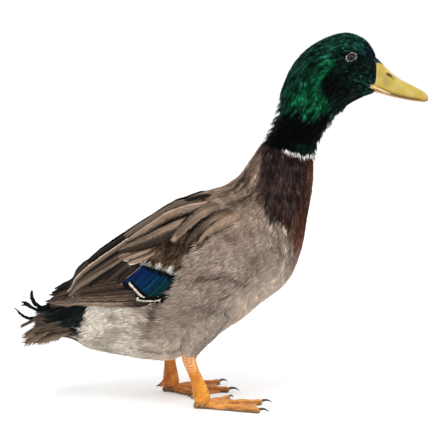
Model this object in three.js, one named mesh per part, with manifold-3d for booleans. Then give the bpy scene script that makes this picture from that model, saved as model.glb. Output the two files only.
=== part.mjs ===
// A mallard drake, standing, life size, as a museum model: the outer shape of the plumage with bill, eyes, legs and feet.
// Millimetres. +X is forward, +Y is the bird's left, +Z is up, and the floor is Z = 0.
import * as THREE from "three";
import { mergeVertices } from "three/addons/utils/BufferGeometryUtils.js";
import Module from "manifold-3d";

const wasm = await Module();
wasm.setup();

const { lerp, clamp, degToRad } = THREE.MathUtils;

// ---- driving sizes ----
const gap = 0.3; // left between pieces that meet
const frameShift = [0.5, -6]; // X and Y from the bird's own middle plane to the middle of the object's box
const trunkFacets = { rings: 27, sides: 26 };
const neckFacets = { rings: 13, sides: 22 };
const headFacets = { rings: 16, sides: 22 };

// The body from tail to bill. Each section is a plane across the body: its middle (x, z), how far its top leans back,
// its height and width, and where it is widest, as a share of the height above the keel.
const bodySections = [
  { name: "over the tail", x: -176.0, z: 79.0, lean: 3, height: 26, width: 56, widest: 0.6 },
  { name: "tail root", x: -149.5, z: 83.6, lean: 3, height: 38, width: 52, widest: 0.55 },
  { name: "rump", x: -137.0, z: 87.8, lean: 6, height: 68, width: 74, widest: 0.55 },
  { name: "vent", x: -122.0, z: 95.0, lean: 5, height: 90, width: 88, widest: 0.52 },
  { name: "hip", x: -92.2, z: 103.6, lean: 6, height: 119, width: 106, widest: 0.5 },
  { name: "loin", x: -59.7, z: 112.4, lean: 9, height: 142, width: 117, widest: 0.48 },
  { name: "back", x: -28.5, z: 129.8, lean: 11, height: 144, width: 120, widest: 0.48 },
  { name: "shoulder", x: 0.6, z: 145.8, lean: 14, height: 134, width: 116, widest: 0.5 },
  { name: "breast", x: 24.7, z: 160.1, lean: 20, height: 121, width: 108, widest: 0.5 },
  { name: "crop", x: 43.0, z: 174.6, lean: 26, height: 114, width: 97, widest: 0.5 },
  { name: "neck root", x: 54.2, z: 195.5, lean: 31, height: 102.5, width: 82, widest: 0.5 },
  { name: "low neck", x: 61.6, z: 219.2, lean: 38, height: 82, width: 66, widest: 0.5 },
  { name: "collar", x: 67.5, z: 240.6, lean: 48, height: 66, width: 54, widest: 0.5 },
  { name: "ring", x: 70.3, z: 258.8, lean: 58, height: 52.5, width: 45, widest: 0.5 },
  { name: "mid neck", x: 73.9, z: 271.8, lean: 60, height: 49.5, width: 42, widest: 0.5 },
  { name: "high neck", x: 79.6, z: 285.6, lean: 61, height: 52.0, width: 41, widest: 0.5 },
  { name: "nape", x: 87.3, z: 300.6, lean: 61, height: 58, width: 43, widest: 0.52 },
  { name: "jowl", x: 97.4, z: 315.1, lean: 58, height: 66, width: 46, widest: 0.54 },
  { name: "cheek", x: 109.3, z: 326.6, lean: 50, height: 70.5, width: 48, widest: 0.52 },
  { name: "crown", x: 122.2, z: 334.6, lean: 39, height: 69.8, width: 47, widest: 0.48 },
  { name: "eye", x: 137.1, z: 339.0, lean: 24, height: 65, width: 41, widest: 0.44 },
  { name: "brow", x: 147.8, z: 336.2, lean: 10, height: 52, width: 31, widest: 0.42 },
  { name: "bill base", x: 153.8, z: 328.6, lean: -1, height: 34, width: 22, widest: 0.42 },
];
const tailStart = 1; // places along the body, counted in sections
const neckStart = 10.6;
const headStart = 16.4;
const headEnd = bodySections.length - 1;

// A folded wing lies on the body from the shoulder to past the rump. At each place along the body: the angles of its
// upper and lower edge, counted from the middle of the back, how far its upper edge stands off, and how much of the
// room under it is filled.
const wingPlaces = [
  { along: 8.7, upper: 50, lower: 66, lift: 0, fill: 1 },
  { along: 8.1, upper: 34, lower: 78, lift: 0.4, fill: 1 },
  { along: 7.2, upper: 25, lower: 80, lift: 0.6, fill: 1 },
  { along: 6.1, upper: 18, lower: 83, lift: 0.4, fill: 1 },
  { along: 5.1, upper: 13, lower: 88, lift: 0.4, fill: 1 },
  { along: 4.1, upper: 10, lower: 88, lift: 2.4, fill: 1 },
  { along: 3.1, upper: 8, lower: 81, lift: 5.6, fill: 1 },
  { along: 2.2, upper: 7, lower: 70, lift: 10.0, fill: 0.9 },
  { along: 1.4, upper: 8, lower: 60, lift: 15.0, fill: 0.5 },
  { along: 0.7, upper: 12, lower: 52, lift: 17.0, fill: 0.1 },
  { along: 0.12, upper: 22, lower: 40, lift: 12.0, fill: 0 },
];
const wingShape = {
  rings: 16,
  columns: 5, // across the upper side, and as many across the under side
  outside: 4.6, // how far its thickest part stands off the body
  inside: 2.2, // how far it goes into the room of the body before it is cut to fit
  edgeShare: 0.25, // thickness left at its upper and lower edge
  lowerLift: 0.45, // share of the lift that is left at the lower edge
  frontTaper: { start: 0.45, growth: 2.2 },
  rearTaper: { start: 0.5, growth: 1.6 },
};

const eyePlace = { along: 19.64, angle: 72, radius: 5.4, sunk: 3.9, across: 14, down: 8 };

// The upper bill from its base to the nail: the ridge's height, the mouth line's height and the width.
const billPlaces = [
  { x: 154.2, ridge: 344.6, mouth: 313.0, width: 21.0 },
  { x: 160.0, ridge: 338.8, mouth: 311.2, width: 20.6 },
  { x: 168.0, ridge: 331.4, mouth: 308.6, width: 19.8 },
  { x: 178.0, ridge: 323.8, mouth: 306.0, width: 20.2 },
  { x: 188.0, ridge: 318.7, mouth: 304.0, width: 21.8 },
  { x: 196.5, ridge: 314.2, mouth: 302.8, width: 21.6 },
  { x: 202.3, ridge: 310.2, mouth: 302.0, width: 17.0 },
  { x: 205.8, ridge: 306.6, mouth: 302.4, width: 8.0 },
];
const billShape = {
  rings: 12,
  arcSteps: 8,
  roundTop: 0.62, // lower values give a flatter, squarer arch; it flattens towards the tip
  flatterEachPlace: 0.05,
  squareSides: 0.9,
  palate: 0.6, // height of the palate over the mouth line
};
const lowerBill = { baseDepth: 2.6, tipDepth: 1.1, taper: 0.6, narrower: 2.4, endsBefore: 1 };

// Legs from the knee, which lies inside the body, down to the ball of the foot: middle, half length and half width.
const legPlaces = {
  right: [
    { at: [-14, -31, 96], front: 22, side: 15 },
    { at: [-21, -34, 80], front: 18, side: 15 },
    { at: [-27, -36, 66], front: 12, side: 12 },
    { at: [-30.2, -37, 56], front: 8.4, side: 8.4 },
    { at: [-30.2, -37, 48], front: 6.9, side: 6.4 },
    { at: [-26.9, -37.1, 38], front: 5.8, side: 4.9 },
    { at: [-23.0, -37.3, 28], front: 6.2, side: 5.1 },
    { at: [-19.6, -37.4, 17], front: 7.7, side: 6.2 },
    { at: [-17.5, -37.6, 9], front: 8.3, side: 7.6 },
    { at: [-16.9, -37.6, 4], front: 7.0, side: 7.0 },
  ],
  left: [
    { at: [-36, 31, 96], front: 22, side: 15 },
    { at: [-43, 34, 80], front: 18, side: 15 },
    { at: [-49, 36, 66], front: 12, side: 12 },
    { at: [-52.4, 37, 56], front: 8.4, side: 8.4 },
    { at: [-53.2, 37, 48], front: 6.9, side: 6.4 },
    { at: [-52.2, 37, 38], front: 5.8, side: 4.9 },
    { at: [-51.6, 37, 28], front: 6.2, side: 5.1 },
    { at: [-51.0, 37, 17], front: 7.7, side: 6.2 },
    { at: [-50.6, 37, 9], front: 8.3, side: 7.6 },
    { at: [-50.4, 37, 4], front: 7.0, side: 7.0 },
  ],
};
const hockPlace = 3.2; // where the feathered part of the leg ends
const anklePlace = 6.7;
const legGap = 0.035; // the gap between the pieces of a leg, in places
const legFacets = { thighRings: 9, shankRings: 9, ankleRings: 5, sides: 12 };

// Toes spread from the ball of the foot. Angles are from straight ahead, positive towards the bird's left.
const toeSizes = {
  inner: { length: 43, base: 4.3, tip: 2.7, claw: 8.5, joints: 2 },
  middle: { length: 60.5, base: 4.6, tip: 2.9, claw: 10.5, joints: 3 },
  outer: { length: 60, base: 4.4, tip: 2.8, claw: 10, joints: 3 },
};
const toeAngles = {
  right: { inner: 53, middle: 13, outer: -21 },
  left: { inner: -44, middle: -5, outer: 33 },
};
const toeShape = {
  rings: 8,
  sides: 8,
  height: 0.62, // of a toe's middle over the floor, as a share of its half thickness
  swelling: 0.07, // at each joint
  bluntEnd: 0.06,
};
const webShape = {
  thickness: 1.7,
  reach: 0.86, // how far along the toes the web goes
  hollow: 0.82, // how far out the middle of its front edge is drawn
  heel: 2, // how far it goes behind the ball of the foot
  curveSteps: 5,
};
const hindToe = {
  length: 11,
  base: 2.9,
  tip: 2.0,
  claw: 6.5,
  height: 13,
  behind: 5,
  inward: 4,
  heading: { back: 0.62, inward: 0.62, down: 0.48 },
};
const clawShape = {
  rings: 6,
  sides: 6,
  rise: 22, // degrees above level at its root
  bend: 62, // degrees it turns down to its point
  thick: 1.55,
  hindThick: 1.25,
  point: 0.28,
  taper: 0.7,
  narrower: 0.8,
  inToe: 1.6, // how far its root lies inside the toe
  inHindToe: 1,
  height: 0.95, // of its root over the floor, as a share of the toe's half thickness
};

const tailSizes = { length: 51, tipWidth: 54, fall: 26, droop: 13, tipThickness: 3.4, rounding: 6 };
const tailShape = {
  rings: 8,
  columns: 12,
  widening: 1.1,
  thinning: 1.9,
  arching: 0.5,
  edgeThickness: 0.9,
  settle: 0.2, // share of the tail root's lean that the tail keeps
};
const curlShape = { root: 3.0, tip: 1.6, thick: 0.75, rings: 11, sides: 6 };
// The curled feathers over the tail, each as a path of (x, y, z).
const curlPaths = {
  tail_curl_upright: [
    [-168, 3, 99],
    [-178, 3, 93.8],
    [-185.1, 2, 96.9],
    [-188.3, 1, 102],
    [-189.3, 0, 107],
    [-189.1, 0, 111.1],
  ],
  tail_curl_forked: [
    [-168, -3.4, 98],
    [-179, -4.5, 92.3],
    [-186.1, -5, 93.8],
    [-193.2, -5, 97.9],
    [-197.2, -5, 98.9],
  ],
  tail_curl_long: [
    [-170, 0, 94],
    [-176, 0, 88.8],
    [-183.1, 0, 84.7],
    [-191.2, -0.5, 83.2],
    [-199.2, -1, 86.7],
    [-206.3, -1.5, 93.8],
  ],
};

// ---- materials ----
const material = (color, roughness) => new THREE.MeshStandardMaterial({ color, roughness, metalness: 0 });
const materials = {
  greyDown: material(0x9d948c, 0.85),
  breastBrown: material(0x4b3a34, 0.85),
  greenHead: material(0x0f4a34, 0.45),
  wingBrown: material(0x6a5a4e, 0.7),
  tailBrown: material(0x54483f, 0.7),
  glossBlack: material(0x10181b, 0.4),
  billYellow: material(0xc9a93a, 0.4),
  legOrange: material(0xe08a1e, 0.5),
  clawGrey: material(0x2f3436, 0.4),
  eyeBrown: material(0x1c120d, 0.1),
};

// ---- solids ----
function toSolid(geometry) {
  const bare = geometry.clone();
  bare.deleteAttribute("normal");
  bare.deleteAttribute("uv");
  const merged = mergeVertices(bare, 1e-4);
  return new wasm.Manifold(
    new wasm.Mesh({
      numProp: 3,
      vertProperties: merged.attributes.position.array,
      triVerts: new Uint32Array(merged.index.array),
    }),
  );
}

function toGeometry(solid) {
  const mesh = solid.getMesh();
  const positions = new Float32Array(mesh.numVert * 3);
  for (let i = 0; i < mesh.numVert; i++) {
    positions.set(mesh.vertProperties.subarray(i * mesh.numProp, i * mesh.numProp + 3), i * 3);
  }
  const geometry = new THREE.BufferGeometry();
  geometry.setAttribute("position", new THREE.BufferAttribute(positions, 3));
  geometry.setIndex(new THREE.BufferAttribute(mesh.triVerts, 1));
  geometry.computeVertexNormals();
  return geometry;
}

function largestPiece(solid) {
  return solid.decompose().sort((a, b) => b.volume() - a.volume())[0];
}

const times = (count, make) => Array.from({ length: count }, (_, i) => make(i));

// The points of a round end, its faces from the middle of its ring; or of a flat sheet's end, faces from side to side.
function fanCap(points, ring, sides) {
  const middle = new THREE.Vector3();
  for (let s = 0; s < sides; s++) middle.add(points[ring * sides + s]);
  points.push(middle.divideScalar(sides));
  const centre = points.length - 1;
  return times(sides, (s) => [centre, ring * sides + ((s + 1) % sides), ring * sides + s]);
}

function sheetCap(points, ring, sides) {
  const first = ring * sides;
  const faces = [];
  for (let s = 0; s < sides / 2 - 1; s++) {
    const across = sides - 1 - s;
    faces.push([first + s, first + across, first + s + 1], [first + s + 1, first + across, first + across - 1]);
  }
  return faces;
}

// A closed solid through rings with equal numbers of points.
function loft(rings, cap = fanCap) {
  const sides = rings[0].length;
  const points = rings.flat();
  const faces = [];
  for (let r = 0; r < rings.length - 1; r++) {
    for (let s = 0; s < sides; s++) {
      const a = r * sides + s;
      const b = r * sides + ((s + 1) % sides);
      faces.push([a, b, b + sides], [a, b + sides, a + sides]);
    }
  }
  faces.push(...cap(points, 0, sides));
  faces.push(...cap(points, rings.length - 1, sides).map(([a, b, c]) => [a, c, b]));
  const volume = faces.reduce(
    (sum, [a, b, c]) => sum + points[a].dot(new THREE.Vector3().crossVectors(points[b], points[c])),
    0,
  );
  const outward = volume > 0 ? faces : faces.map(([a, b, c]) => [a, c, b]);
  const geometry = new THREE.BufferGeometry().setFromPoints(points);
  geometry.setIndex(outward.flat());
  return toSolid(geometry);
}

// A smooth value through a list of values, at a place counted in list entries. It runs on straight past the ends.
function through(values, place) {
  const last = values.length - 1;
  if (place <= 0) return values[0] + (values[1] - values[0]) * place;
  if (place >= last) return values[last] + (values[last] - values[last - 1]) * (place - last);
  const i = Math.floor(place);
  const f = place - i;
  const before = i > 0 ? values[i - 1] : 2 * values[0] - values[1];
  const after = i + 2 <= last ? values[i + 2] : 2 * values[last] - values[last - 1];
  const slopeIn = (values[i + 1] - before) / 2;
  const slopeOut = (after - values[i]) / 2;
  const rise = values[i + 1] - values[i];
  const bend = 3 * rise - 2 * slopeIn - slopeOut;
  return values[i] + slopeIn * f + bend * f * f + (slopeIn + slopeOut - 2 * rise) * f ** 3;
}

const column = (rows, key) => rows.map((row) => row[key]);
const sectionColumns = Object.fromEntries(
  ["x", "z", "lean", "height", "width", "widest"].map((key) => [key, column(bodySections, key)]),
);

// A point of the body's surface: place along it, angle in degrees from the middle of the back towards the left, and
// how far outside the plumage it lies. shift moves it along the body, square to its section.
function bodyPoint(along, degrees, outside = 0, shift = 0) {
  const at = (key) => through(sectionColumns[key], along);
  const lean = degToRad(at("lean"));
  const angle = degToRad(degrees);
  const height = at("height");
  const keelShare = at("widest");
  const above = Math.cos(angle) > 0 ? height * (1 - keelShare) : height * keelShare;
  const up = (above + outside) * Math.cos(angle) + height * (keelShare - 0.5);
  const sideways = (at("width") / 2 + outside) * Math.sin(angle);
  return new THREE.Vector3(
    at("x") - Math.sin(lean) * up + Math.cos(lean) * shift,
    sideways,
    at("z") + Math.cos(lean) * up + Math.sin(lean) * shift,
  );
}

function bodyRing(along, sides, outside, shift) {
  return times(sides, (s) => bodyPoint(along, (s * 360) / sides, outside, shift));
}

function bodyLength(from, to, { rings, sides }, outside = 0) {
  return loft(
    times(rings, (r) => {
      const endShift = r === 0 ? gap / 2 : r === rings - 1 ? -gap / 2 : 0;
      return bodyRing(lerp(from, to, r / (rings - 1)), sides, outside, endShift);
    }),
  );
}

// ---- wings ----
// A folded wing is a thick sheet over the flank, drawn for the left side and mirrored for the right.
function wingSolid(side, trunkRoom) {
  const { columns, frontTaper, rearTaper } = wingShape;
  const at = (key, place) => through(column(wingPlaces, key), place);
  const sheetPoint = (u, v, out) => {
    const place = u * (wingPlaces.length - 1);
    const angle = lerp(at("upper", place), at("lower", place), v);
    const lift = at("lift", place) * lerp(1, wingShape.lowerLift, v);
    const under = out < 0 ? out - lift * at("fill", place) : out;
    const p = bodyPoint(at("along", place), angle, lift + under);
    return new THREE.Vector3(p.x, side * p.y, p.z);
  };
  const rings = times(wingShape.rings + 1, (r) => {
    const u = r / wingShape.rings;
    const taper = Math.min(
      1,
      frontTaper.start + frontTaper.growth * u,
      rearTaper.start + rearTaper.growth * (1 - u),
    );
    const outer = times(columns + 1, (c) => {
      const v = c / columns;
      const round = Math.sqrt(Math.max(0, 1 - (2 * v - 1) ** 4));
      return sheetPoint(u, v, wingShape.outside * taper * lerp(wingShape.edgeShare, 1, round));
    });
    const inner = times(columns + 1, (c) => sheetPoint(u, 1 - c / columns, -wingShape.inside * taper));
    return [...outer, ...inner];
  });
  return largestPiece(loft(rings, sheetCap).subtract(trunkRoom));
}

// ---- tail ----
function tailSolid() {
  const { columns, rings } = tailShape;
  const root = Object.fromEntries(
    Object.entries(sectionColumns).map(([key, list]) => [key, through(list, tailStart)]),
  );
  const lean = degToRad(root.lean);
  const steps = times(rings, (r) => {
    const s = r / (rings - 1);
    const halfWidth = lerp(root.width, tailSizes.tipWidth, s ** tailShape.widening) / 2;
    const thick = lerp(root.height, tailSizes.tipThickness, s ** tailShape.thinning);
    const ridge = root.height / 2 - tailSizes.fall * s;
    const edge = (turn, lower) => {
      const q = Math.sin(turn);
      const round = Math.cos(turn);
      const rootArch = (1 - s) * (root.height / 2) * (1 - round);
      const hang = tailSizes.droop * s ** tailShape.arching * q * q + rootArch;
      const under = lower ? Math.max(tailShape.edgeThickness, thick * round) : 0;
      const up = ridge - hang - under;
      const back = gap / 2 + s * (tailSizes.length - tailSizes.rounding * q * q);
      return new THREE.Vector3(
        root.x - back - Math.sin(lean) * up,
        halfWidth * q,
        root.z - back * Math.tan(lean) * tailShape.settle + Math.cos(lean) * up,
      );
    };
    const turnOf = (c) => (Math.PI * (2 * c - columns)) / (2 * columns);
    const upper = times(columns + 1, (c) => edge(turnOf(c), false));
    const lower = times(columns + 1, (c) => edge(turnOf(columns - c), true));
    return [...upper, ...lower];
  });
  return loft(steps, sheetCap);
}

// A ring of points round a middle, in the plane of two directions.
function ellipse(middle, first, firstHalf, second, secondHalf, sides) {
  return times(sides, (s) => {
    const angle = (2 * Math.PI * s) / sides;
    return middle
      .clone()
      .addScaledVector(first, firstHalf * Math.cos(angle))
      .addScaledVector(second, secondHalf * Math.sin(angle));
  });
}

function curlSolid(path) {
  const curve = new THREE.CatmullRomCurve3(path.map((p) => new THREE.Vector3(...p)));
  return loft(
    times(curlShape.rings, (r) => {
      const u = r / (curlShape.rings - 1);
      const along = curve.getTangent(u);
      const across = new THREE.Vector3(0, 1, 0).addScaledVector(along, -along.y).normalize();
      const normal = new THREE.Vector3().crossVectors(along, across);
      const half = lerp(curlShape.root, curlShape.tip, u * u);
      return ellipse(curve.getPoint(u), across, half, normal, curlShape.thick, curlShape.sides);
    }),
  );
}

// ---- bill and eyes ----
function billRing(place, lower) {
  const { arcSteps } = billShape;
  const value = (key) => through(column(billPlaces, key), place);
  const half = value("width") / 2;
  const ridge = value("ridge");
  const mouth = value("mouth");
  if (!lower) {
    const roundness = billShape.roundTop - billShape.flatterEachPlace * place;
    const arch = times(arcSteps + 1, (s) => {
      const angle = (Math.PI * s) / arcSteps;
      const across = Math.sign(Math.cos(angle)) * Math.abs(Math.cos(angle)) ** billShape.squareSides;
      return new THREE.Vector3(value("x"), half * across, mouth + (ridge - mouth) * Math.sin(angle) ** roundness);
    });
    const roof = [-0.5, 0, 0.5].map((q) => new THREE.Vector3(value("x"), half * q, mouth + billShape.palate));
    return [...arch, ...roof];
  }
  const share = place / (billPlaces.length - 1 - lowerBill.endsBefore);
  const depth = lerp(lowerBill.baseDepth, lowerBill.tipDepth, share ** lowerBill.taper);
  const width = half - lowerBill.narrower / 2;
  const keel = times(arcSteps + 1, (s) => {
    const angle = Math.PI + (Math.PI * s) / arcSteps;
    return new THREE.Vector3(value("x"), width * Math.cos(angle), mouth - gap + depth * Math.sin(angle));
  });
  const top = [0.5, 0, -0.5].map((q) => new THREE.Vector3(value("x"), width * q, mouth - gap));
  return [...keel, ...top];
}

function billSolid(lower) {
  const end = billPlaces.length - 1 - (lower ? lowerBill.endsBefore : 0);
  return loft(times(billShape.rings, (r) => billRing((end * r) / (billShape.rings - 1), lower)));
}

function eyeMiddle(side) {
  const surface = bodyPoint(eyePlace.along, eyePlace.angle);
  return new THREE.Vector3(surface.x, side * (surface.y - eyePlace.sunk), surface.z);
}

const eyeBall = (radius) => new THREE.SphereGeometry(radius, eyePlace.across, eyePlace.down);

function eyeSocket(side) {
  const middle = eyeMiddle(side);
  return toSolid(eyeBall(eyePlace.radius + gap).translate(middle.x, middle.y, middle.z));
}

// ---- legs and feet ----
function legRing(places, place) {
  const point = (p) => new THREE.Vector3(...[0, 1, 2].map((i) => through(column(places, "at").map((at) => at[i]), p)));
  const step = 0.02;
  const down = point(place + step)
    .sub(point(place - step))
    .normalize();
  const across = new THREE.Vector3(0, 1, 0).addScaledVector(down, -down.y).normalize();
  const forward = new THREE.Vector3().crossVectors(across, down).normalize();
  const front = through(column(places, "front"), place);
  const side = through(column(places, "side"), place);
  return ellipse(point(place), forward, front, across, side, legFacets.sides);
}

function legLength(places, from, to, ringCount) {
  return loft(times(ringCount, (r) => legRing(places, lerp(from, to, r / (ringCount - 1)))));
}

// A finger-like solid along a straight line, with a blunt end and a slight swelling at each joint.
function toeSolid(start, end, base, tip, joints) {
  const axis = end.clone().sub(start);
  const length = axis.length();
  axis.normalize();
  const across = new THREE.Vector3(-axis.y, axis.x, 0).normalize();
  const up = new THREE.Vector3().crossVectors(axis, across);
  return loft(
    times(toeShape.rings, (r) => {
      const u = r / (toeShape.rings - 1);
      const swell = 1 + toeShape.swelling * Math.cos(2 * Math.PI * joints * u);
      const pastEnd = Math.max(0, (u * length - (length - tip)) / tip);
      const endRound = Math.sqrt(Math.max(toeShape.bluntEnd, 1 - pastEnd ** 2));
      const radius = lerp(base, tip, u) * swell * endRound;
      const middle = start.clone().addScaledVector(axis, u * length);
      return ellipse(middle, across, radius, up, radius, toeShape.sides);
    }),
  );
}

function clawSolid(start, heading, length, thick) {
  const across = new THREE.Vector3(-heading.y, heading.x, 0).normalize();
  const upward = new THREE.Vector3(0, 0, 1);
  const bend = degToRad(clawShape.bend);
  const firstTurn = degToRad(clawShape.rise);
  const bow = length / bend;
  return loft(
    times(clawShape.rings, (r) => {
      const u = r / (clawShape.rings - 1);
      const turn = firstTurn - bend * u;
      const middle = start
        .clone()
        .addScaledVector(heading, bow * (Math.sin(firstTurn) - Math.sin(turn)))
        .addScaledVector(upward, bow * (Math.cos(turn) - Math.cos(firstTurn)));
      const radius = Math.max(clawShape.point, thick * (1 - u) ** clawShape.taper);
      const up = heading.clone().multiplyScalar(-Math.sin(turn)).addScaledVector(upward, Math.cos(turn));
      return ellipse(middle, across, radius * clawShape.narrower, up, radius, clawShape.sides);
    }),
  );
}

function webSolid(middle, angles) {
  const tipOf = (name) => {
    const angle = degToRad(angles[name]);
    const reach = toeSizes[name].length * webShape.reach;
    return new THREE.Vector2(middle.x + reach * Math.cos(angle), middle.y + reach * Math.sin(angle));
  };
  const ends = { inner: tipOf("inner"), middle: tipOf("middle"), outer: tipOf("outer") };
  const hollow = (a, b) => {
    const half = ends[a].clone().add(ends[b]).multiplyScalar(0.5);
    return new THREE.Vector2(middle.x, middle.y).lerp(half, webShape.hollow);
  };
  const outline = new THREE.Shape();
  outline.moveTo(middle.x - webShape.heel, middle.y);
  outline.lineTo(ends.outer.x, ends.outer.y);
  const first = hollow("outer", "middle");
  outline.quadraticCurveTo(first.x, first.y, ends.middle.x, ends.middle.y);
  const second = hollow("middle", "inner");
  outline.quadraticCurveTo(second.x, second.y, ends.inner.x, ends.inner.y);
  outline.closePath();
  const depth = webShape.thickness;
  return toSolid(new THREE.ExtrudeGeometry(outline, { depth, bevelEnabled: false, curveSegments: webShape.curveSteps }));
}

function hindToeSolids(x, y, inward) {
  const { back, inward: across, down } = hindToe.heading;
  const heading = new THREE.Vector3(-back, inward * across, -down).normalize();
  const start = new THREE.Vector3(x - hindToe.behind, y + inward * hindToe.inward, hindToe.height);
  const end = start.clone().addScaledVector(heading, hindToe.length);
  const clawStart = end.clone().addScaledVector(heading, -clawShape.inHindToe);
  const clawHeading = heading.clone().setZ(0).normalize();
  return {
    toe: toeSolid(start, end, hindToe.base, hindToe.tip, 1),
    claw: clawSolid(clawStart, clawHeading, hindToe.claw, clawShape.hindThick),
  };
}

function footSolids(side) {
  const places = legPlaces[side];
  const [x, y] = places[places.length - 1].at;
  const middle = new THREE.Vector3(x, y, 0);
  const inward = side === "right" ? 1 : -1;
  const ankle = legLength(places, anklePlace, places.length - 1, legFacets.ankleRings);
  const pieces = [ankle, webSolid(middle, toeAngles[side])];
  const claws = {};
  for (const [name, size] of Object.entries(toeSizes)) {
    const angle = degToRad(toeAngles[side][name]);
    const heading = new THREE.Vector3(Math.cos(angle), Math.sin(angle), 0);
    const start = middle.clone().setZ(size.base * toeShape.height);
    const end = middle.clone().addScaledVector(heading, size.length).setZ(size.tip * toeShape.height);
    pieces.push(toeSolid(start, end, size.base, size.tip, size.joints));
    const clawStart = end.clone().addScaledVector(heading, -clawShape.inToe).setZ(size.tip * clawShape.height);
    claws[name] = clawSolid(clawStart, heading, size.claw, clawShape.thick);
  }
  const hind = hindToeSolids(x, y, inward);
  pieces.push(hind.toe);
  claws.hind = hind.claw;
  const joined = pieces.reduce((sum, piece) => sum.add(piece));
  const [long, deep] = [400, 40];
  const underFloor = toSolid(new THREE.BoxGeometry(long, long, deep).translate(0, 0, -deep / 2));
  return { foot: joined.subtract(underFloor), claws };
}

// A copy made larger by the same amount on every side, which cuts the room for a piece out of its neighbour.
function enlarged(solid, by) {
  const box = solid.boundingBox();
  const middle = [0, 1, 2].map((i) => (box.min[i] + box.max[i]) / 2);
  const grow = [0, 1, 2].map((i) => 1 + (2 * by) / (box.max[i] - box.min[i]));
  return solid
    .translate(middle.map((m) => -m))
    .scale(grow)
    .translate(middle);
}

// ---- assembly ----
const model = new THREE.Group();
function place(name, geometry, finish) {
  const mesh = new THREE.Mesh(geometry, finish);
  mesh.name = name;
  model.add(mesh);
  return mesh;
}
const placeSolid = (name, solid, finish) => place(name, toGeometry(solid), finish);

const trunkRoom = bodyLength(tailStart, neckStart, trunkFacets, gap);
placeSolid("trunk", bodyLength(tailStart, neckStart, trunkFacets), materials.greyDown);
placeSolid("neck", bodyLength(neckStart, headStart, neckFacets), materials.breastBrown);

const headWhole = bodyLength(headStart, headEnd, headFacets);
placeSolid("head", headWhole.subtract(eyeSocket(-1)).subtract(eyeSocket(1)), materials.greenHead);
for (const [name, side] of [["eye_right", -1], ["eye_left", 1]]) {
  place(name, eyeBall(eyePlace.radius), materials.eyeBrown).position.copy(eyeMiddle(side));
}
placeSolid("bill_upper", billSolid(false), materials.billYellow);
placeSolid("bill_lower", billSolid(true), materials.billYellow);

placeSolid("wing_right", wingSolid(-1, trunkRoom), materials.wingBrown);
placeSolid("wing_left", wingSolid(1, trunkRoom), materials.wingBrown);
const tail = tailSolid();
const tailRoom = enlarged(tail, gap);
placeSolid("tail", tail, materials.tailBrown);
for (const [name, path] of Object.entries(curlPaths)) {
  const curl = curlSolid(path).subtract(trunkRoom).subtract(tailRoom);
  placeSolid(name, largestPiece(curl), materials.glossBlack);
}

for (const side of ["right", "left"]) {
  const places = legPlaces[side];
  const thigh = legLength(places, 0, hockPlace, legFacets.thighRings);
  placeSolid(`thigh_${side}`, largestPiece(thigh.subtract(trunkRoom)), materials.greyDown);
  const shank = legLength(places, hockPlace + legGap, anklePlace - legGap, legFacets.shankRings);
  placeSolid(`shank_${side}`, largestPiece(shank.subtract(trunkRoom)), materials.legOrange);
  const { foot, claws } = footSolids(side);
  let cutFoot = foot;
  for (const [name, claw] of Object.entries(claws)) {
    cutFoot = cutFoot.subtract(enlarged(claw, gap));
    placeSolid(`claw_${side}_${name}`, claw, materials.clawGrey);
  }
  placeSolid(`foot_${side}`, largestPiece(cutFoot), materials.legOrange);
}

model.position.set(frameShift[0], frameShift[1], 0);
export default model;
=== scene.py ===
import math

import bpy
import numpy as np
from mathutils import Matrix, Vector
from mathutils.kdtree import KDTree


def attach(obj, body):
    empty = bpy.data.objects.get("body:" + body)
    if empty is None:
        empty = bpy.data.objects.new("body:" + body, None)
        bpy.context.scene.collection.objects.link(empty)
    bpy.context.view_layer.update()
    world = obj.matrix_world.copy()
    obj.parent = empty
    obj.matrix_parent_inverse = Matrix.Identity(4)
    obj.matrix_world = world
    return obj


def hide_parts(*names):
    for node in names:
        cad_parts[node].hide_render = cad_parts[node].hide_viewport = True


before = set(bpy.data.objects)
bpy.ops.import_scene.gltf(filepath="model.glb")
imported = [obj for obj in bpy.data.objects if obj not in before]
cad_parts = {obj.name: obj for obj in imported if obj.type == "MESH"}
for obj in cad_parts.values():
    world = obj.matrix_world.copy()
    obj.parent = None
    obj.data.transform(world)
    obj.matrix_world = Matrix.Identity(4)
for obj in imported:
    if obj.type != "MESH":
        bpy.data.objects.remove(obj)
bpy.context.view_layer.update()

print("frame loaded:", len(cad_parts), "nodes")

# Shapes are worked out in millimetres in the bird's own frame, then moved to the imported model's frame.
planeShift = np.array([0.5, -6.0, 0.0])


def toMetres(points):
    return (np.asarray(points, float) + planeShift) * 0.001


def limit(value):
    return np.clip(value, 0, 1)


def smooth(value, low, high):
    t = limit((np.asarray(value, float) - low) / (high - low))
    return t * t * (3 - 2 * t)


def between(value, low, high, soft):
    return smooth(value, low - soft, low + soft) * (1 - smooth(value, high - soft, high + soft))


def mix(first, second, share):
    share = np.asarray(share, float)[..., None]
    return np.asarray(first, float) * (1 - share) + np.asarray(second, float) * share


def unit(vectors):
    return vectors / np.maximum(np.linalg.norm(vectors, axis=-1, keepdims=True), 1e-9)


def through(values, place):
    # a smooth value through a list of values, straight past its ends
    values = np.asarray(values, float)
    place = np.asarray(place, float)
    last = len(values) - 1
    i = np.clip(np.floor(place).astype(int), 0, last - 1)
    f = place - i
    padded = np.concatenate([[2 * values[0] - values[1]], values, [2 * values[-1] - values[-2]]])
    before, start, end, after = padded[i], padded[i + 1], padded[i + 2], padded[i + 3]
    slopeIn = (end - before) / 2
    slopeOut = (after - start) / 2
    rise = end - start
    curve = start + slopeIn * f + (3 * rise - 2 * slopeIn - slopeOut) * f**2
    curve = curve + (slopeIn + slopeOut - 2 * rise) * f**3
    curve = np.where(place < 0, values[0] + (values[1] - values[0]) * place, curve)
    return np.where(place > last, values[last] + (values[last] - values[last - 1]) * (place - last), curve)


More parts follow.
